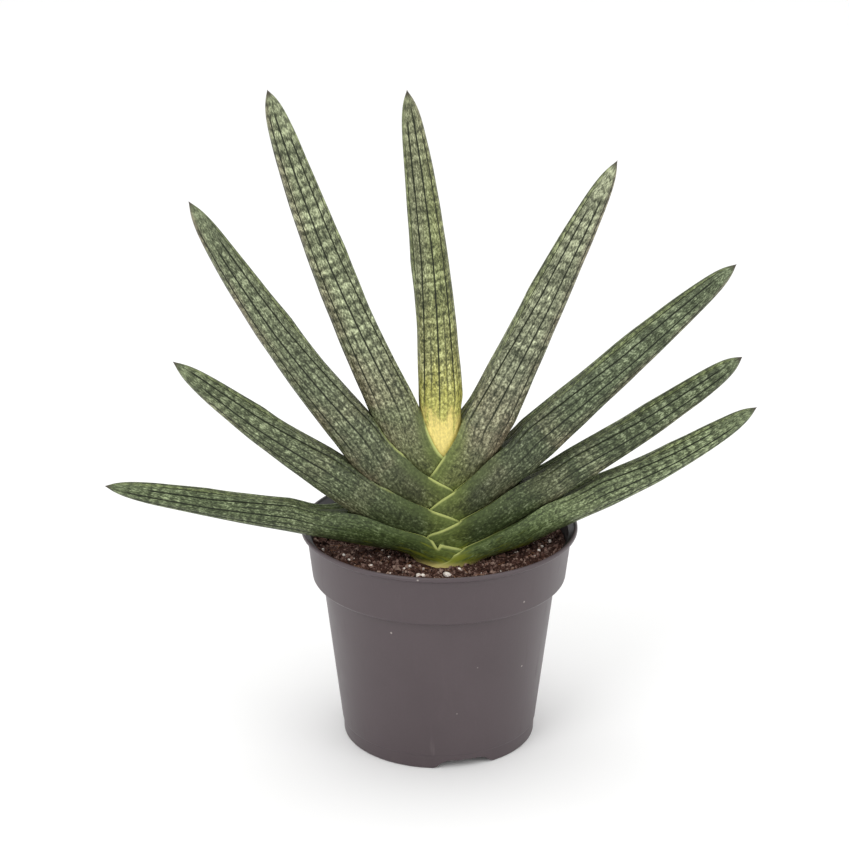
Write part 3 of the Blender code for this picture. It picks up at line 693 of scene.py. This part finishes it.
def ring_point(row, turn, grow):
    """One point of a section, as (u, out, z), grown outwards from the section's own line."""
    keel = Vector(row[0:2])
    margin = Vector(row[2:4])
    depth, corner_angle, channel, _, lean = row[4:9]
    span = margin - keel
    reach = max(span.length, 1e-9)
    corner = math.radians(corner_angle)
    half = reach / (1.0 - math.cos(corner))
    side = min(turn, RING - turn)
    angle = corner * min(side / CORNER, 1.0)
    share = max(side - CORNER, 0.0) / (0.5 * RING - CORNER)
    along = half * (1.0 - math.cos(angle)) + channel * (1.0 - (1.0 - share) ** 2)
    out = depth * math.sin(angle) * (1.0 - share)
    normal = Vector((-depth * math.cos(angle), half * math.sin(angle))).normalized()
    face_normal = Vector((depth * math.sin(corner), 2.0 * channel * (1.0 - share))).normalized()
    if abs(side - CORNER) < 1e-4:
        normal = (normal + face_normal) / (1.0 + normal.dot(face_normal))
    elif side > CORNER:
        normal = face_normal
    along += normal.x * grow
    out += normal.y * grow
    if turn < 0.5 * RING:
        out = -out
    place = keel + span / reach * along
    return place.x, out + lean, place.y


def leaf_relief(turn, row, from_collar, from_tip, order, blade_length):
    """Grooves, the crowned strips between the main ones, and slight waves, in millimetres."""
    place = (turn - GROOVE_SHIFT) / GROOVE_PITCH
    line = round(place)
    nearest = abs(place - line)
    begin = groove_start(line % GROOVE_COUNT, order, blade_length)
    opened = min(max((from_tip - begin) / GROOVE_OPENING, 0.0), 1.0)
    if line % 2:
        opened *= HALF_GROOVE_DEPTH
    relief = -GROOVE_DEPTH * opened * math.exp(-(nearest / GROOVE_HALF_WIDTH) ** 2)
    relief -= STRIP_CROWN * (2.0 * abs(0.5 * place % 1.0 - 0.5)) ** 2
    angle = 2.0 * math.pi * turn / RING
    shift = from_collar / WAVE_LENGTH + LEAF_SHIFT * order
    spot = Vector((math.cos(angle), math.sin(angle), shift))
    return row[7] * (relief + SKIN_WAVES * noise.noise(spot))


def fan_to_world(u, out, z):
    """A point of the fan, in millimetres, as world metres: out is away from the front."""
    x = u * math.cos(FAN_TURN) - out * math.sin(FAN_TURN)
    y = u * math.sin(FAN_TURN) + out * math.cos(FAN_TURN)
    return (FAN_ORIGIN + Vector((x, y, z))) * MM


def loft_leaf(name, leaf, order, grow):
    """A grid rolled into the leaf's sections, sewn along its keel, and closed at foot and tip.

    The map "skin" holds the share of the way round and the distance from the collar. The map
    "size" holds the width of one step of the ring and the distance from the tip, in metres.
    """
    rows = leaf_rows(leaf, order)
    from_collar, from_tip = leaf_distances(leaf, rows)
    blade_length = from_collar[-1]
    lines = [line + station for line in range(GROOVE_COUNT) for station in GROOVE_STATIONS]
    turns = {round((GROOVE_SHIFT + GROOVE_PITCH * line) % RING, 4) for line in lines}
    turns = sorted(turns | {0.0, float(CORNER), 0.5 * RING, float(RING - CORNER), float(RING)})
    places = []
    skin = []
    size = []
    for row, collar_distance, tip_distance in zip(rows, from_collar, from_tip):
        ring = []
        for turn in turns:
            relief = leaf_relief(turn, row, collar_distance, tip_distance, order, blade_length)
            ring.append(fan_to_world(*ring_point(row, turn, grow + relief)))
        girth = sum((second - first).length for first, second in zip(ring, ring[1:]))
        places += ring
        skin += [(turn / RING, collar_distance * MM) for turn in turns]
        size += [(girth / RING, tip_distance * MM)] * len(turns)
    if grow:
        for spot in places[:len(turns)]:
            spot.z -= ROOM_FOOT_DEPTH * grow * MM
    deselect()
    bpy.ops.mesh.primitive_grid_add(x_subdivisions=len(turns) - 1, y_subdivisions=len(rows) - 1)
    made = bpy.context.object
    made.name = name
    mesh = made.data
    mesh.vertices.foreach_set("co", np.array(places, np.float32).ravel())
    corners = np.empty(len(mesh.loops), np.int32)
    mesh.loops.foreach_get("vertex_index", corners)
    for layer_name, values in (("skin", skin), ("size", size)):
        layer = mesh.uv_layers.new(name=layer_name)
        layer.data.foreach_set("uv", np.array(values, np.float32)[corners].ravel())
    mesh.uv_layers.remove(mesh.uv_layers[0])
    bpy.ops.object.mode_set(mode="EDIT")
    bpy.ops.mesh.select_mode(type="VERT")
    bpy.ops.mesh.select_all(action="SELECT")
    bpy.ops.mesh.remove_doubles(threshold=1e-6)
    bpy.ops.mesh.select_all(action="DESELECT")
    bpy.ops.mesh.select_non_manifold()
    bpy.ops.mesh.edge_face_add()
    face_outwards()
    return made


def keep_largest_body(solid):
    """Drop the loose scraps that a cut leaves."""
    name = solid.name
    pick(solid)
    bpy.ops.object.mode_set(mode="EDIT")
    bpy.ops.mesh.select_all(action="SELECT")
    bpy.ops.mesh.separate(type="LOOSE")
    bpy.ops.object.mode_set(mode="OBJECT")
    bodies = sorted(bpy.context.selected_objects, key=lambda body: len(body.data.vertices))
    for scrap in bodies[:-1]:
        bpy.data.objects.remove(scrap)
    bodies[-1].name = name
    return bodies[-1]


def mark_margins(solid):
    """Store how far each point is from the rim of its sheath, in the attribute "rim".

    The rim runs where the faces of the skin meet those of the lining.
    """
    mesh = solid.data
    slots = {}
    for face in mesh.polygons:
        for edge in face.edge_keys:
            slots.setdefault(edge, set()).add(face.material_index)
    rim_points = []
    for (first, second), found in slots.items():
        if len(found) > 1:
            begin, end = mesh.vertices[first].co, mesh.vertices[second].co
            count = 1 + math.floor((end - begin).length / RIM_STEP)
            rim_points += [begin.lerp(end, index / count) for index in range(count + 1)]
    tree = KDTree(len(rim_points))
    for index, rim_point in enumerate(rim_points):
        tree.insert(rim_point, index)
    tree.balance()
    values = [RIM_FAR] * len(mesh.vertices)
    if rim_points:
        values = [min(tree.find(vertex.co)[2], RIM_FAR) for vertex in mesh.vertices]
    mesh.attributes.new("rim", "FLOAT", "POINT").data.foreach_set("value", values)


def leaf_finish(leaf, order, blade_length):
    """Waxy skin: speckled green in irregular cross-bands, dark grooves, pale clasping margins, and
    painted shade along the keel and down the channel.
    """
    made, start, where = new_finish(leaf["name"] + "_skin", 0.5, 0.3)
    share = start.node("ShaderNodeUVMap", {"uv_map": "skin"}).split()
    from_collar = share.out("Y")
    step_width = start.node("ShaderNodeUVMap", {"uv_map": "size"}).split()
    from_tip = step_width.out("Y")
    spot = where.split()
    height = spot.out("Z")
    along_fan = abs((spot - FAN_ORIGIN.x * MM) * math.cos(FAN_TURN)
                    + (spot.out("Y") - FAN_ORIGIN.y * MM) * math.sin(FAN_TURN))
    rim = start.node("ShaderNodeAttribute", {"attribute_name": "rim"}, output="Fac")

    turn = share * float(RING)
    side = RING / 2 - abs(turn - RING / 2)
    around = share * (2.0 * math.pi)
    across = start.maths("COSINE", around)
    outward = start.maths("SINE", around)
    run = from_collar + GRAIN_SHIFT * order

    def wrapped(radius, stretch=1.0):
        """Places on a round leaf of a radius in millimetres, with what is on it drawn out."""
        sideways = across * (radius * MM)
        links = {"X": sideways, "Y": outward * (radius * MM), "Z": run * (1.0 / stretch)}
        return start.node("ShaderNodeCombineXYZ", {}, links)

    place = (turn - GROOVE_SHIFT) * (1.0 / GROOVE_PITCH)
    strip = (place * 0.5).floor()
    strip_share = place * 0.5 - strip
    strip_number = start.maths("FLOORED_MODULO", strip, GROOVE_COUNT / 2)
    strip_draw = (strip_number + 9.7 * order).drawn()
    bulge = (strip_share - 0.5) * (strip_share - 0.5)
    wander = start.grain(wrapped(3.0), 42.0, 2.0)
    rung = run * (1.0 / (BAND_PITCH * MM)) + wander * 2.6 + strip_draw * 0.2 + bulge * 1.3
    rung_share = rung - rung.floor()
    rung_draw = (rung.floor() * 1.7 + LEAF_SHIFT * order).drawn()
    bands = rung_share.rise(0.0, 0.6) * (1.0 - rung_share.rise(0.78, 1.0))
    bands = bands * (0.7 + 0.5 * rung_draw) - 0.5
    ring = run * (1.0 / (DARK_RING_PITCH * MM)) + wander * 1.8 + bulge * 0.3
    ring_share = ring - ring.floor()
    dark_rings = ring_share.rise(0.6, 0.72) * (1.0 - ring_share.rise(0.88, 1.0))
    mottle = start.grain(wrapped(GRAIN_RADIUS, 1.6), 620.0, 3.0, 0.7)
    speckle = start.grain(wrapped(GRAIN_RADIUS, 2.2), 1800.0, 2.0, 0.65)
    streaks = start.grain(wrapped(GRAIN_RADIUS, 7.0), 700.0, 2.0, 0.6)
    clouds = start.grain(wrapped(6.0), 70.0, 2.0)

    near_crown = along_fan.within(*CROWN_REACH)
    near_fold = along_fan.within(*FOLD_REACH)
    beside_rim = rim.within(*RIM_REACH) * near_crown
    ragged = height + (clouds - 0.5) * 16.0 * MM + (streaks - 0.5) * 34.0 * MM
    plain = beside_rim * 0.6
    if leaf is LEAVES[-1]:
        cream = ragged.within(*CENTRE_CREAM_ZONE)
        plain = ragged.within(*CENTRE_PLAIN_ZONE) * 0.45 + cream * 0.4
    banded = (from_collar.rise(-20.0 * MM, 40.0 * MM) * 0.75 + 0.25) * leaf["bands"]
    tone = (bands * BAND_STRENGTH - dark_rings * DARK_RING_STRENGTH) * banded
    rough = (mottle - 0.5) * MOTTLE_STRENGTH + (speckle - 0.5) * SPECKLE_STRENGTH
    rough = rough + (streaks - 0.5) * STREAK_STRENGTH
    tone = tone + rough * (0.7 + 0.3 * from_collar.rise(-40.0 * MM, 0.0))
    # Painted shade: the skin is darkened along the keel and down the middle of the channel.
    painted_edge_shade = 1.0 - side.rise(0.0, 1.5) + side.rise(10.4, 12.0)
    tone = tone + (clouds - 0.5) * CLOUD_STRENGTH - painted_edge_shade * EDGE_SHADE_STRENGTH

    on_blade = from_collar.rise(-45.0 * MM, 12.0 * MM)
    shade = on_blade.mix(paint(*leaf["sheath"]), paint(*leaf["blade"]))
    shade = (side.rise(8.2, 10.4) * on_blade * 0.55).mix(shade, CREST_GREEN)
    keel_blush = (1.0 - side.rise(2.0, 4.6)) * clouds.rise(0.3, 0.6)
    shade = (keel_blush * leaf["blush"]).mix(shade, KEEL_BROWN)
    collar_blush = abs(from_collar + 6.0 * MM).within(4.0, 34.0) * clouds.rise(0.42, 0.62)
    shade = (collar_blush * (0.5 * leaf["blush"])).mix(shade, COLLAR_BROWN)
    shade = (beside_rim * 0.55).mix(shade, MARGIN_GREEN)
    shade = (near_fold * 0.3).mix(shade, FOLD_GREEN)
    if leaf is LEAVES[-1]:
        shade = (ragged.within(*CENTRE_OLIVE_ZONE) * 0.5).mix(shade, CENTRE_OLIVE)
        shade = ragged.within(*CENTRE_YELLOW_ZONE).mix(shade, CENTRE_YELLOW)
        shade = cream.mix(shade, CENTRE_CREAM)
    busy = tone * (1.0 - plain)
    shade = shade.scaled(start.maths("POWER", 2.0, busy))
    shade = (busy.rise(0.2, 1.8) * 0.35).mix(shade, PALE_FLECK)
    shade = ((1.0 - busy.rise(-1.8, -0.2)) * 0.4).mix(shade, DARK_FLECK)

    main_line = (place * 0.5 + 0.5).floor() * 2.0
    half_line = (place * 0.5).floor() * 2.0 + 1.0
    fine_line = place.floor() + 0.5
    blade = blade_length * MM
    open_on_blade = 0.35 + 0.65 * from_collar.rise(-30.0 * MM, 8.0 * MM)
    for line, (first, spread), unit, strength in (
        (main_line, MAIN_GROOVE_START, MM, 1.0),
        (half_line, HALF_GROOVE_START, blade, HALF_GROOVE_STRENGTH),
        (fine_line, FINE_GROOVE_START, blade, FINE_GROOVE_STRENGTH),
    ):
        number = start.maths("FLOORED_MODULO", line, float(GROOVE_COUNT))
        drift = 0.5 + 0.5 * start.maths("SINE", number * GROOVE_DRIFT + float(order))
        begin = (first + spread * drift) * unit
        reach = abs(place - line) * step_width * GROOVE_PITCH
        open_share = (from_tip - begin).rise(0.0, GROOVE_OPENING * MM)
        groove = reach.within(*GROOVE_LINE) * open_share * open_on_blade * strength
        shade = (groove * (1.0 - plain)).mix(shade, GROOVE_GREEN)

    rim_line = (rim - near_fold * RIM_THINNING * MM).within(*RIM_LINE) * near_crown
    shade = (rim_line * 0.9).mix(shade, RIM_GREEN)
    shade = from_tip.within(*TIP_REACH).mix(shade, TIP_BROWN)
    if leaf is not LEAVES[-1]:
        shade = ragged.within(*FOOT_YELLOW_ZONE).mix(shade, FOOT_YELLOW)
        shade = height.within(*FOOT_CREAM_ZONE).mix(shade, FOOT_CREAM)
    shade.feed("Base Color")
    (0.42 + mottle * 0.16).feed("Roughness")
    (mottle * 0.7 + speckle * 0.3).raise_skin(0.35, 0.12)
    return made


def lining_finish():
    """The smooth pale inside of a sheath."""
    made, start, where = new_finish("sheath_lining", 0.45, 0.4)
    start.grain(where, 300.0, 3.0).mix(LINING_DULL, LINING_BRIGHT).feed("Base Color")
    return made


def with_lining(cutter):
    """Give a cutter's faces the second slot, so that what it cuts shows the sheath's lining."""
    dress(cutter, sheath_lining, sheath_lining)
    for face in cutter.data.polygons:
        face.material_index = 1
    return cutter


sheath_lining = lining_finish()
rooms = []
for order, leaf in enumerate(LEAVES):
    rooms.append(with_lining(loft_leaf("room", leaf, order, SHEATH_CLEARANCE)))
for order, leaf in enumerate(LEAVES):
    grown_leaf = loft_leaf("grown_" + leaf["name"], leaf, order, 0.0)
    blade_length = leaf_distances(leaf, leaf_rows(leaf, order))[0][-1]
    dress(grown_leaf, leaf_finish(leaf, order, blade_length), sheath_lining)
    for room_solid in rooms[order + 1:]:
        cut(grown_leaf, room_solid)
    if leaf["name"] == TORN_LEAF:
        deselect()
        bpy.ops.mesh.primitive_cylinder_add(vertices=3, radius=TEAR_RADIUS * MM,
                                            depth=TEAR_DEPTH * MM, location=(0.0, 0.0, 0.0))
        tear = bpy.context.object
        tear.rotation_euler = (-0.5 * math.pi, 0.0, FAN_TURN)
        tear.location = fan_to_world(*TEAR_PLACE)
        settle()
        cut(grown_leaf, with_lining(tear))
        bpy.data.objects.remove(tear)
    if leaf is not LEAVES[-1]:
        grown_leaf = keep_largest_body(grown_leaf)
    mark_margins(grown_leaf)
    smooth(grown_leaf, LEAF_SMOOTH_ANGLE)
    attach(grown_leaf, "root")
    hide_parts(leaf["name"])

# The soil is dark, crumbly peat. A solid bed fills the pot up to a rough top, with room cut for the
# sheaths of the four outer leaves, and loose crumbs, white perlite grains and fibres lie on it.
SOIL_AT_SHOOT = 85.7
SOIL_AT_WALL = 88.6
SOIL_HOLLOW_RADIUS = 16.0
SOIL_RISE_WIDTH = 38.0
SOIL_LUMPS = ((9.0, 0.8), (2.6, 0.55), (1.2, 0.3))
SOIL_GAP = 0.3
SOIL_SIDES = 256
SOIL_RINGS = 58
SOIL_MIDDLE = 0.8
SOIL_SMOOTH_ANGLE = 60.0
BED_TONE = 0.2
LEAVES_IN_SOIL = 4
SEED = 7
SHOOT_HALF_SPAN = (15.0, 18.5)
GRAIN_SMOOTH_ANGLE = 40.0
SQUASH = (0.7, 1.25)
CRUMB_COUNT = 6500
CRUMB_PATTERNS = 6
CRUMB_SIZES = (0.25, 0.85)
CRUMB_JITTER = 0.3
CRUMB_LIFT = 0.25
CRUMB_TO_EDGE = 1.0
PERLITE_COUNT = 84
PERLITE_PATTERNS = 5
PERLITE_SIZES = (0.25, 0.6)
PERLITE_JITTER = 0.12
PERLITE_LIFT = 0.35
PERLITE_TO_EDGE = 1.5
PERLITE_SPOTS = ((3.3, -34.2, 1.8), (-8.9, -34.3, 1.2), (-7.0, -33.7, 0.8), (-29.1, -25.7, 1.0),
                 (-50.4, -9.8, 0.9), (-41.0, -15.2, 0.8), (-21.4, -14.1, 0.8), (-12.6, -23.0, 0.8),
                 (44.5, -5.4, 0.7), (48.2, -1.0, 0.8), (43.0, -9.8, 0.7))
FIBRE_COUNT = 170
FIBRE_PATTERNS = 5
FIBRE_RADIUS = 0.11
FIBRE_CUTS = (0.0, -0.3, -0.15, 0.15, 0.3)
FIBRE_LENGTHS = (5.0, 8.0)
FIBRE_BOWS = (0.6, 1.6)
FIBRE_SAG = 0.3
FIBRE_FLATNESS = 0.7
FIBRE_TILT = (0.2, 0.25)
FIBRE_STRETCH = (0.5, 1.3)
FIBRE_LIFT = 0.5
FIBRE_TO_EDGE = 6.0


def soil_level(x, y):
    """Height of the soil in millimetres: it rises from the shoot to the pot's wall."""
    rise = min(max((math.hypot(x, y) - SOIL_HOLLOW_RADIUS) / SOIL_RISE_WIDTH, 0.0), 1.0)
    rough = 0.0
    for size, height in SOIL_LUMPS:
        rough += noise.noise(Vector((x, y, SEED)) / size) * height
    return SOIL_AT_SHOOT + (SOIL_AT_WALL - SOIL_AT_SHOOT) * rise + rough


def soil_finish():
    """Peat: near-black to red-brown crumbs, matt and rough. Each loose crumb has its own tone."""
    made, start, where = new_finish("peat", 0.95, 0.2)
    tone = start.node("ShaderNodeAttribute", {"attribute_name": "tone"}, output="Fac")
    fine = start.grain(where, 900.0, 3.0, 0.7)
    patches = start.grain(where, 240.0, 3.0, 0.6)
    stops = [
        (0.12, paint(34, 19, 14)),
        (0.45, paint(72, 50, 42)),
        (0.7, paint(108, 84, 76)),
        (0.95, paint(150, 128, 116)),
    ]
    mixed = tone * 0.7 + (fine - 0.5) * 0.9 + (patches - 0.5) * 0.8 + 0.22
    start.node("ShaderNodeValToRGB", {"stops": stops}, {0: mixed}).feed("Base Color")
    fine.raise_skin(0.9, 0.5)
    return made


def grain_finish(name, dull, bright):
    """Loose grains and fibres: matt, pitted, and duller in the pits."""
    made, start, where = new_finish(name, 0.85, 0.3)
    pits = start.grain(where, 1400.0, 3.0, 0.6)
    pits.rise(0.3, 0.65).mix(dull, bright).feed("Base Color")
    pits.raise_skin(0.7, 0.2)
    return made


def give_tone(solid, values):
    """Store how pale each point is, from 0 to 1, in the attribute "tone"."""
    tone = solid.data.attributes.new("tone", "FLOAT", "POINT")
    tone.data.foreach_set("value", np.array(values, np.float32))


def strew(name, patterns, places, finish):
    """One mesh of many copies, each of one of the patterns, from (matrix, tone) places."""
    coordinates = []
    faces = []
    tones = []
    for index, (matrix, tone) in enumerate(places):
        pattern = patterns[index % len(patterns)].data
        first = len(coordinates)
        coordinates += [matrix @ vertex.co for vertex in pattern.vertices]
        faces += [[first + corner for corner in face.vertices] for face in pattern.polygons]
        tones += [tone] * len(pattern.vertices)
    mesh = bpy.data.meshes.new(name)
    mesh.from_pydata(coordinates, [], faces)
    strewn = bpy.data.objects.new(name, mesh)
    bpy.context.scene.collection.objects.link(strewn)
    give_tone(strewn, tones)
    dress(strewn, finish)
    smooth(strewn, GRAIN_SMOOTH_ANGLE)
    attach(strewn, "root")
    for pattern in patterns:
        bpy.data.objects.remove(pattern)


def open_place(draw, edge):
    """A random spot on the soil, clear of the shoot and the pot's wall."""
    while True:
        angle = draw.uniform(0.0, 2.0 * math.pi)
        distance = edge * math.sqrt(draw.random())
        x = distance * math.cos(angle)
        y = distance * math.sin(angle)
        in_fan = Vector((x - FAN_ORIGIN.x, y - FAN_ORIGIN.y))
        in_fan.rotate(Matrix.Rotation(-FAN_TURN, 2))
        if math.hypot(in_fan.x / SHOOT_HALF_SPAN[0], in_fan.y / SHOOT_HALF_SPAN[1]) > 1.0:
            return x, y


def tumbled(draw, x, y, lift, scale):
    """The place of one loose grain: turned any way, squashed a little, and lifted."""
    turn = Euler([draw.uniform(0.0, 2.0 * math.pi) for _ in range(3)]).to_matrix().to_4x4()
    squash = Matrix.Diagonal([scale * draw.uniform(*SQUASH) for _ in range(3)]).to_4x4()
    return Matrix.Translation(Vector((x, y, soil_level(x, y) + lift)) * MM) @ turn @ squash


def rough_ball(draw, subdivisions, jitter):
    """A faceted ball of one millimetre radius with its points pushed in and out."""
    deselect()
    bpy.ops.mesh.primitive_ico_sphere_add(subdivisions=subdivisions, radius=MM)
    ball = bpy.context.object
    for vertex in ball.data.vertices:
        vertex.co *= draw.uniform(1.0 - jitter, 1.0 + jitter)
    return ball


low, high = POT_INSIDE[3], POT_INSIDE[2]
edge_share = (SOIL_AT_WALL - low[1]) / (high[1] - low[1])
soil_edge = low[0] + (high[0] - low[0]) * edge_share - SOIL_GAP
bed_profile = [
    (POT_INSIDE[6][0] - SOIL_GAP, FLOOR_TOP + SOIL_GAP),
    (POT_INSIDE[5][0] - SOIL_GAP, POT_INSIDE[5][1] + 0.5 * SOIL_GAP),
    (POT_INSIDE[4][0] - SOIL_GAP, POT_INSIDE[4][1] + 0.5 * SOIL_GAP),
    (low[0] - SOIL_GAP, low[1] + SOIL_GAP),
]
for index in range(SOIL_RINGS + 1):
    share = index / SOIL_RINGS
    bed_profile.append((soil_edge + (SOIL_MIDDLE - soil_edge) * share, SOIL_AT_WALL))
soil_bed = turn_solid("soil_bed", bed_profile, SOIL_SIDES)
for vertex in soil_bed.data.vertices:
    x, y, z = vertex.co / MM
    if z > SOIL_AT_WALL - 0.1 and math.hypot(x, y) < soil_edge - 0.5:
        vertex.co.z = soil_level(x, y) * MM
for room_solid in rooms[:LEAVES_IN_SOIL]:
    cut(soil_bed, room_solid)
soil_bed = keep_largest_body(soil_bed)
for room_solid in rooms:
    bpy.data.objects.remove(room_solid)
peat = soil_finish()
dress(soil_bed, peat)
give_tone(soil_bed, [BED_TONE] * len(soil_bed.data.vertices))
smooth(soil_bed, SOIL_SMOOTH_ANGLE)
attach(soil_bed, "root")
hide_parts("soil")

# Jagged crumbs of the same peat lie loose all over the bed, most of them under a millimetre.
draw = random.Random(SEED)
crumb_places = []
for _ in range(CRUMB_COUNT):
    x, y = open_place(draw, soil_edge - CRUMB_TO_EDGE)
    scale = CRUMB_SIZES[0] + CRUMB_SIZES[1] * draw.random() ** 3
    crumb_places.append((tumbled(draw, x, y, CRUMB_LIFT * scale, scale), draw.random()))
crumb_patterns = [rough_ball(draw, 1, CRUMB_JITTER) for _ in range(CRUMB_PATTERNS)]
strew("soil_crumbs", crumb_patterns, crumb_places, peat)

# Rounder white grains of perlite lie among them: the large ones where the photograph shows
# them, and small ones strewn.
perlite_places = []
for x, y, scale in PERLITE_SPOTS:
    perlite_places.append((tumbled(draw, x, y, PERLITE_LIFT * scale, scale), 1.0))
for _ in range(PERLITE_COUNT):
    x, y = open_place(draw, soil_edge - PERLITE_TO_EDGE)
    scale = PERLITE_SIZES[0] + PERLITE_SIZES[1] * draw.random() ** 3
    perlite_places.append((tumbled(draw, x, y, PERLITE_LIFT * scale, scale), 1.0))
perlite_patterns = [rough_ball(draw, 2, PERLITE_JITTER) for _ in range(PERLITE_PATTERNS)]
perlite_paint = grain_finish("perlite", paint(196, 182, 170), paint(240, 234, 226))
strew("perlite_grains", perlite_patterns, perlite_places, perlite_paint)

# Thin red-brown peat fibres lie across the crumbs. Each is a thin rod, cut across and bowed.
fibre_patterns = []
for _ in range(FIBRE_PATTERNS):
    deselect()
    bpy.ops.mesh.primitive_cylinder_add(vertices=5, radius=FIBRE_RADIUS * MM, depth=MM,
                                        location=(0.0, 0.0, 0.0))
    fibre = bpy.context.object
    bpy.ops.object.mode_set(mode="EDIT")
    for cut_height in FIBRE_CUTS:
        bpy.ops.mesh.select_all(action="SELECT")
        bpy.ops.mesh.bisect(plane_co=(0.0, 0.0, cut_height * MM), plane_no=(0.0, 0.0, 1.0))
    bpy.ops.object.mode_set(mode="OBJECT")
    bow = draw.uniform(*FIBRE_BOWS)
    length = draw.uniform(*FIBRE_LENGTHS)
    for vertex in fibre.data.vertices:
        share = vertex.co.z / MM
        curve = (share * 2.0) ** 2
        vertex.co = Vector((share * length * MM, vertex.co.x + bow * curve * MM,
                            vertex.co.y * FIBRE_FLATNESS - FIBRE_SAG * curve * MM))
    fibre_patterns.append(fibre)
fibre_places = []
for _ in range(FIBRE_COUNT):
    x, y = open_place(draw, soil_edge - FIBRE_TO_EDGE)
    tilts = [draw.uniform(-tilt, tilt) for tilt in FIBRE_TILT]
    turn = Euler((*tilts, draw.uniform(0.0, 6.28)))
    stretch = Matrix.Scale(draw.uniform(*FIBRE_STRETCH), 4)
    lift = Matrix.Translation(Vector((x, y, soil_level(x, y) + FIBRE_LIFT)) * MM)
    fibre_places.append((lift @ turn.to_matrix().to_4x4() @ stretch, draw.random()))
fibre_paint = grain_finish("peat_fibre", paint(96, 58, 38), paint(150, 112, 82))
strew("peat_fibres", fibre_patterns, fibre_places, fibre_paint)

# The stem and its thick roots sit in the soil, out of sight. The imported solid's shape is right,
# so it stays, with a pale orange-brown skin.
def rhizome_finish():
    """A thin, dry, orange-brown skin, patchy and lightly wrinkled."""
    made, start, where = new_finish("rhizome_skin", 0.6, 0.3)
    patches = start.grain(where, 220.0, 4.0, 0.6)
    patches.rise(0.3, 0.7).mix(paint(168, 112, 62), paint(206, 158, 98)).feed("Base Color")
    patches.raise_skin(0.5, 0.3)
    return made


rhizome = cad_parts["rhizome_roots"]
dress(rhizome, rhizome_finish())
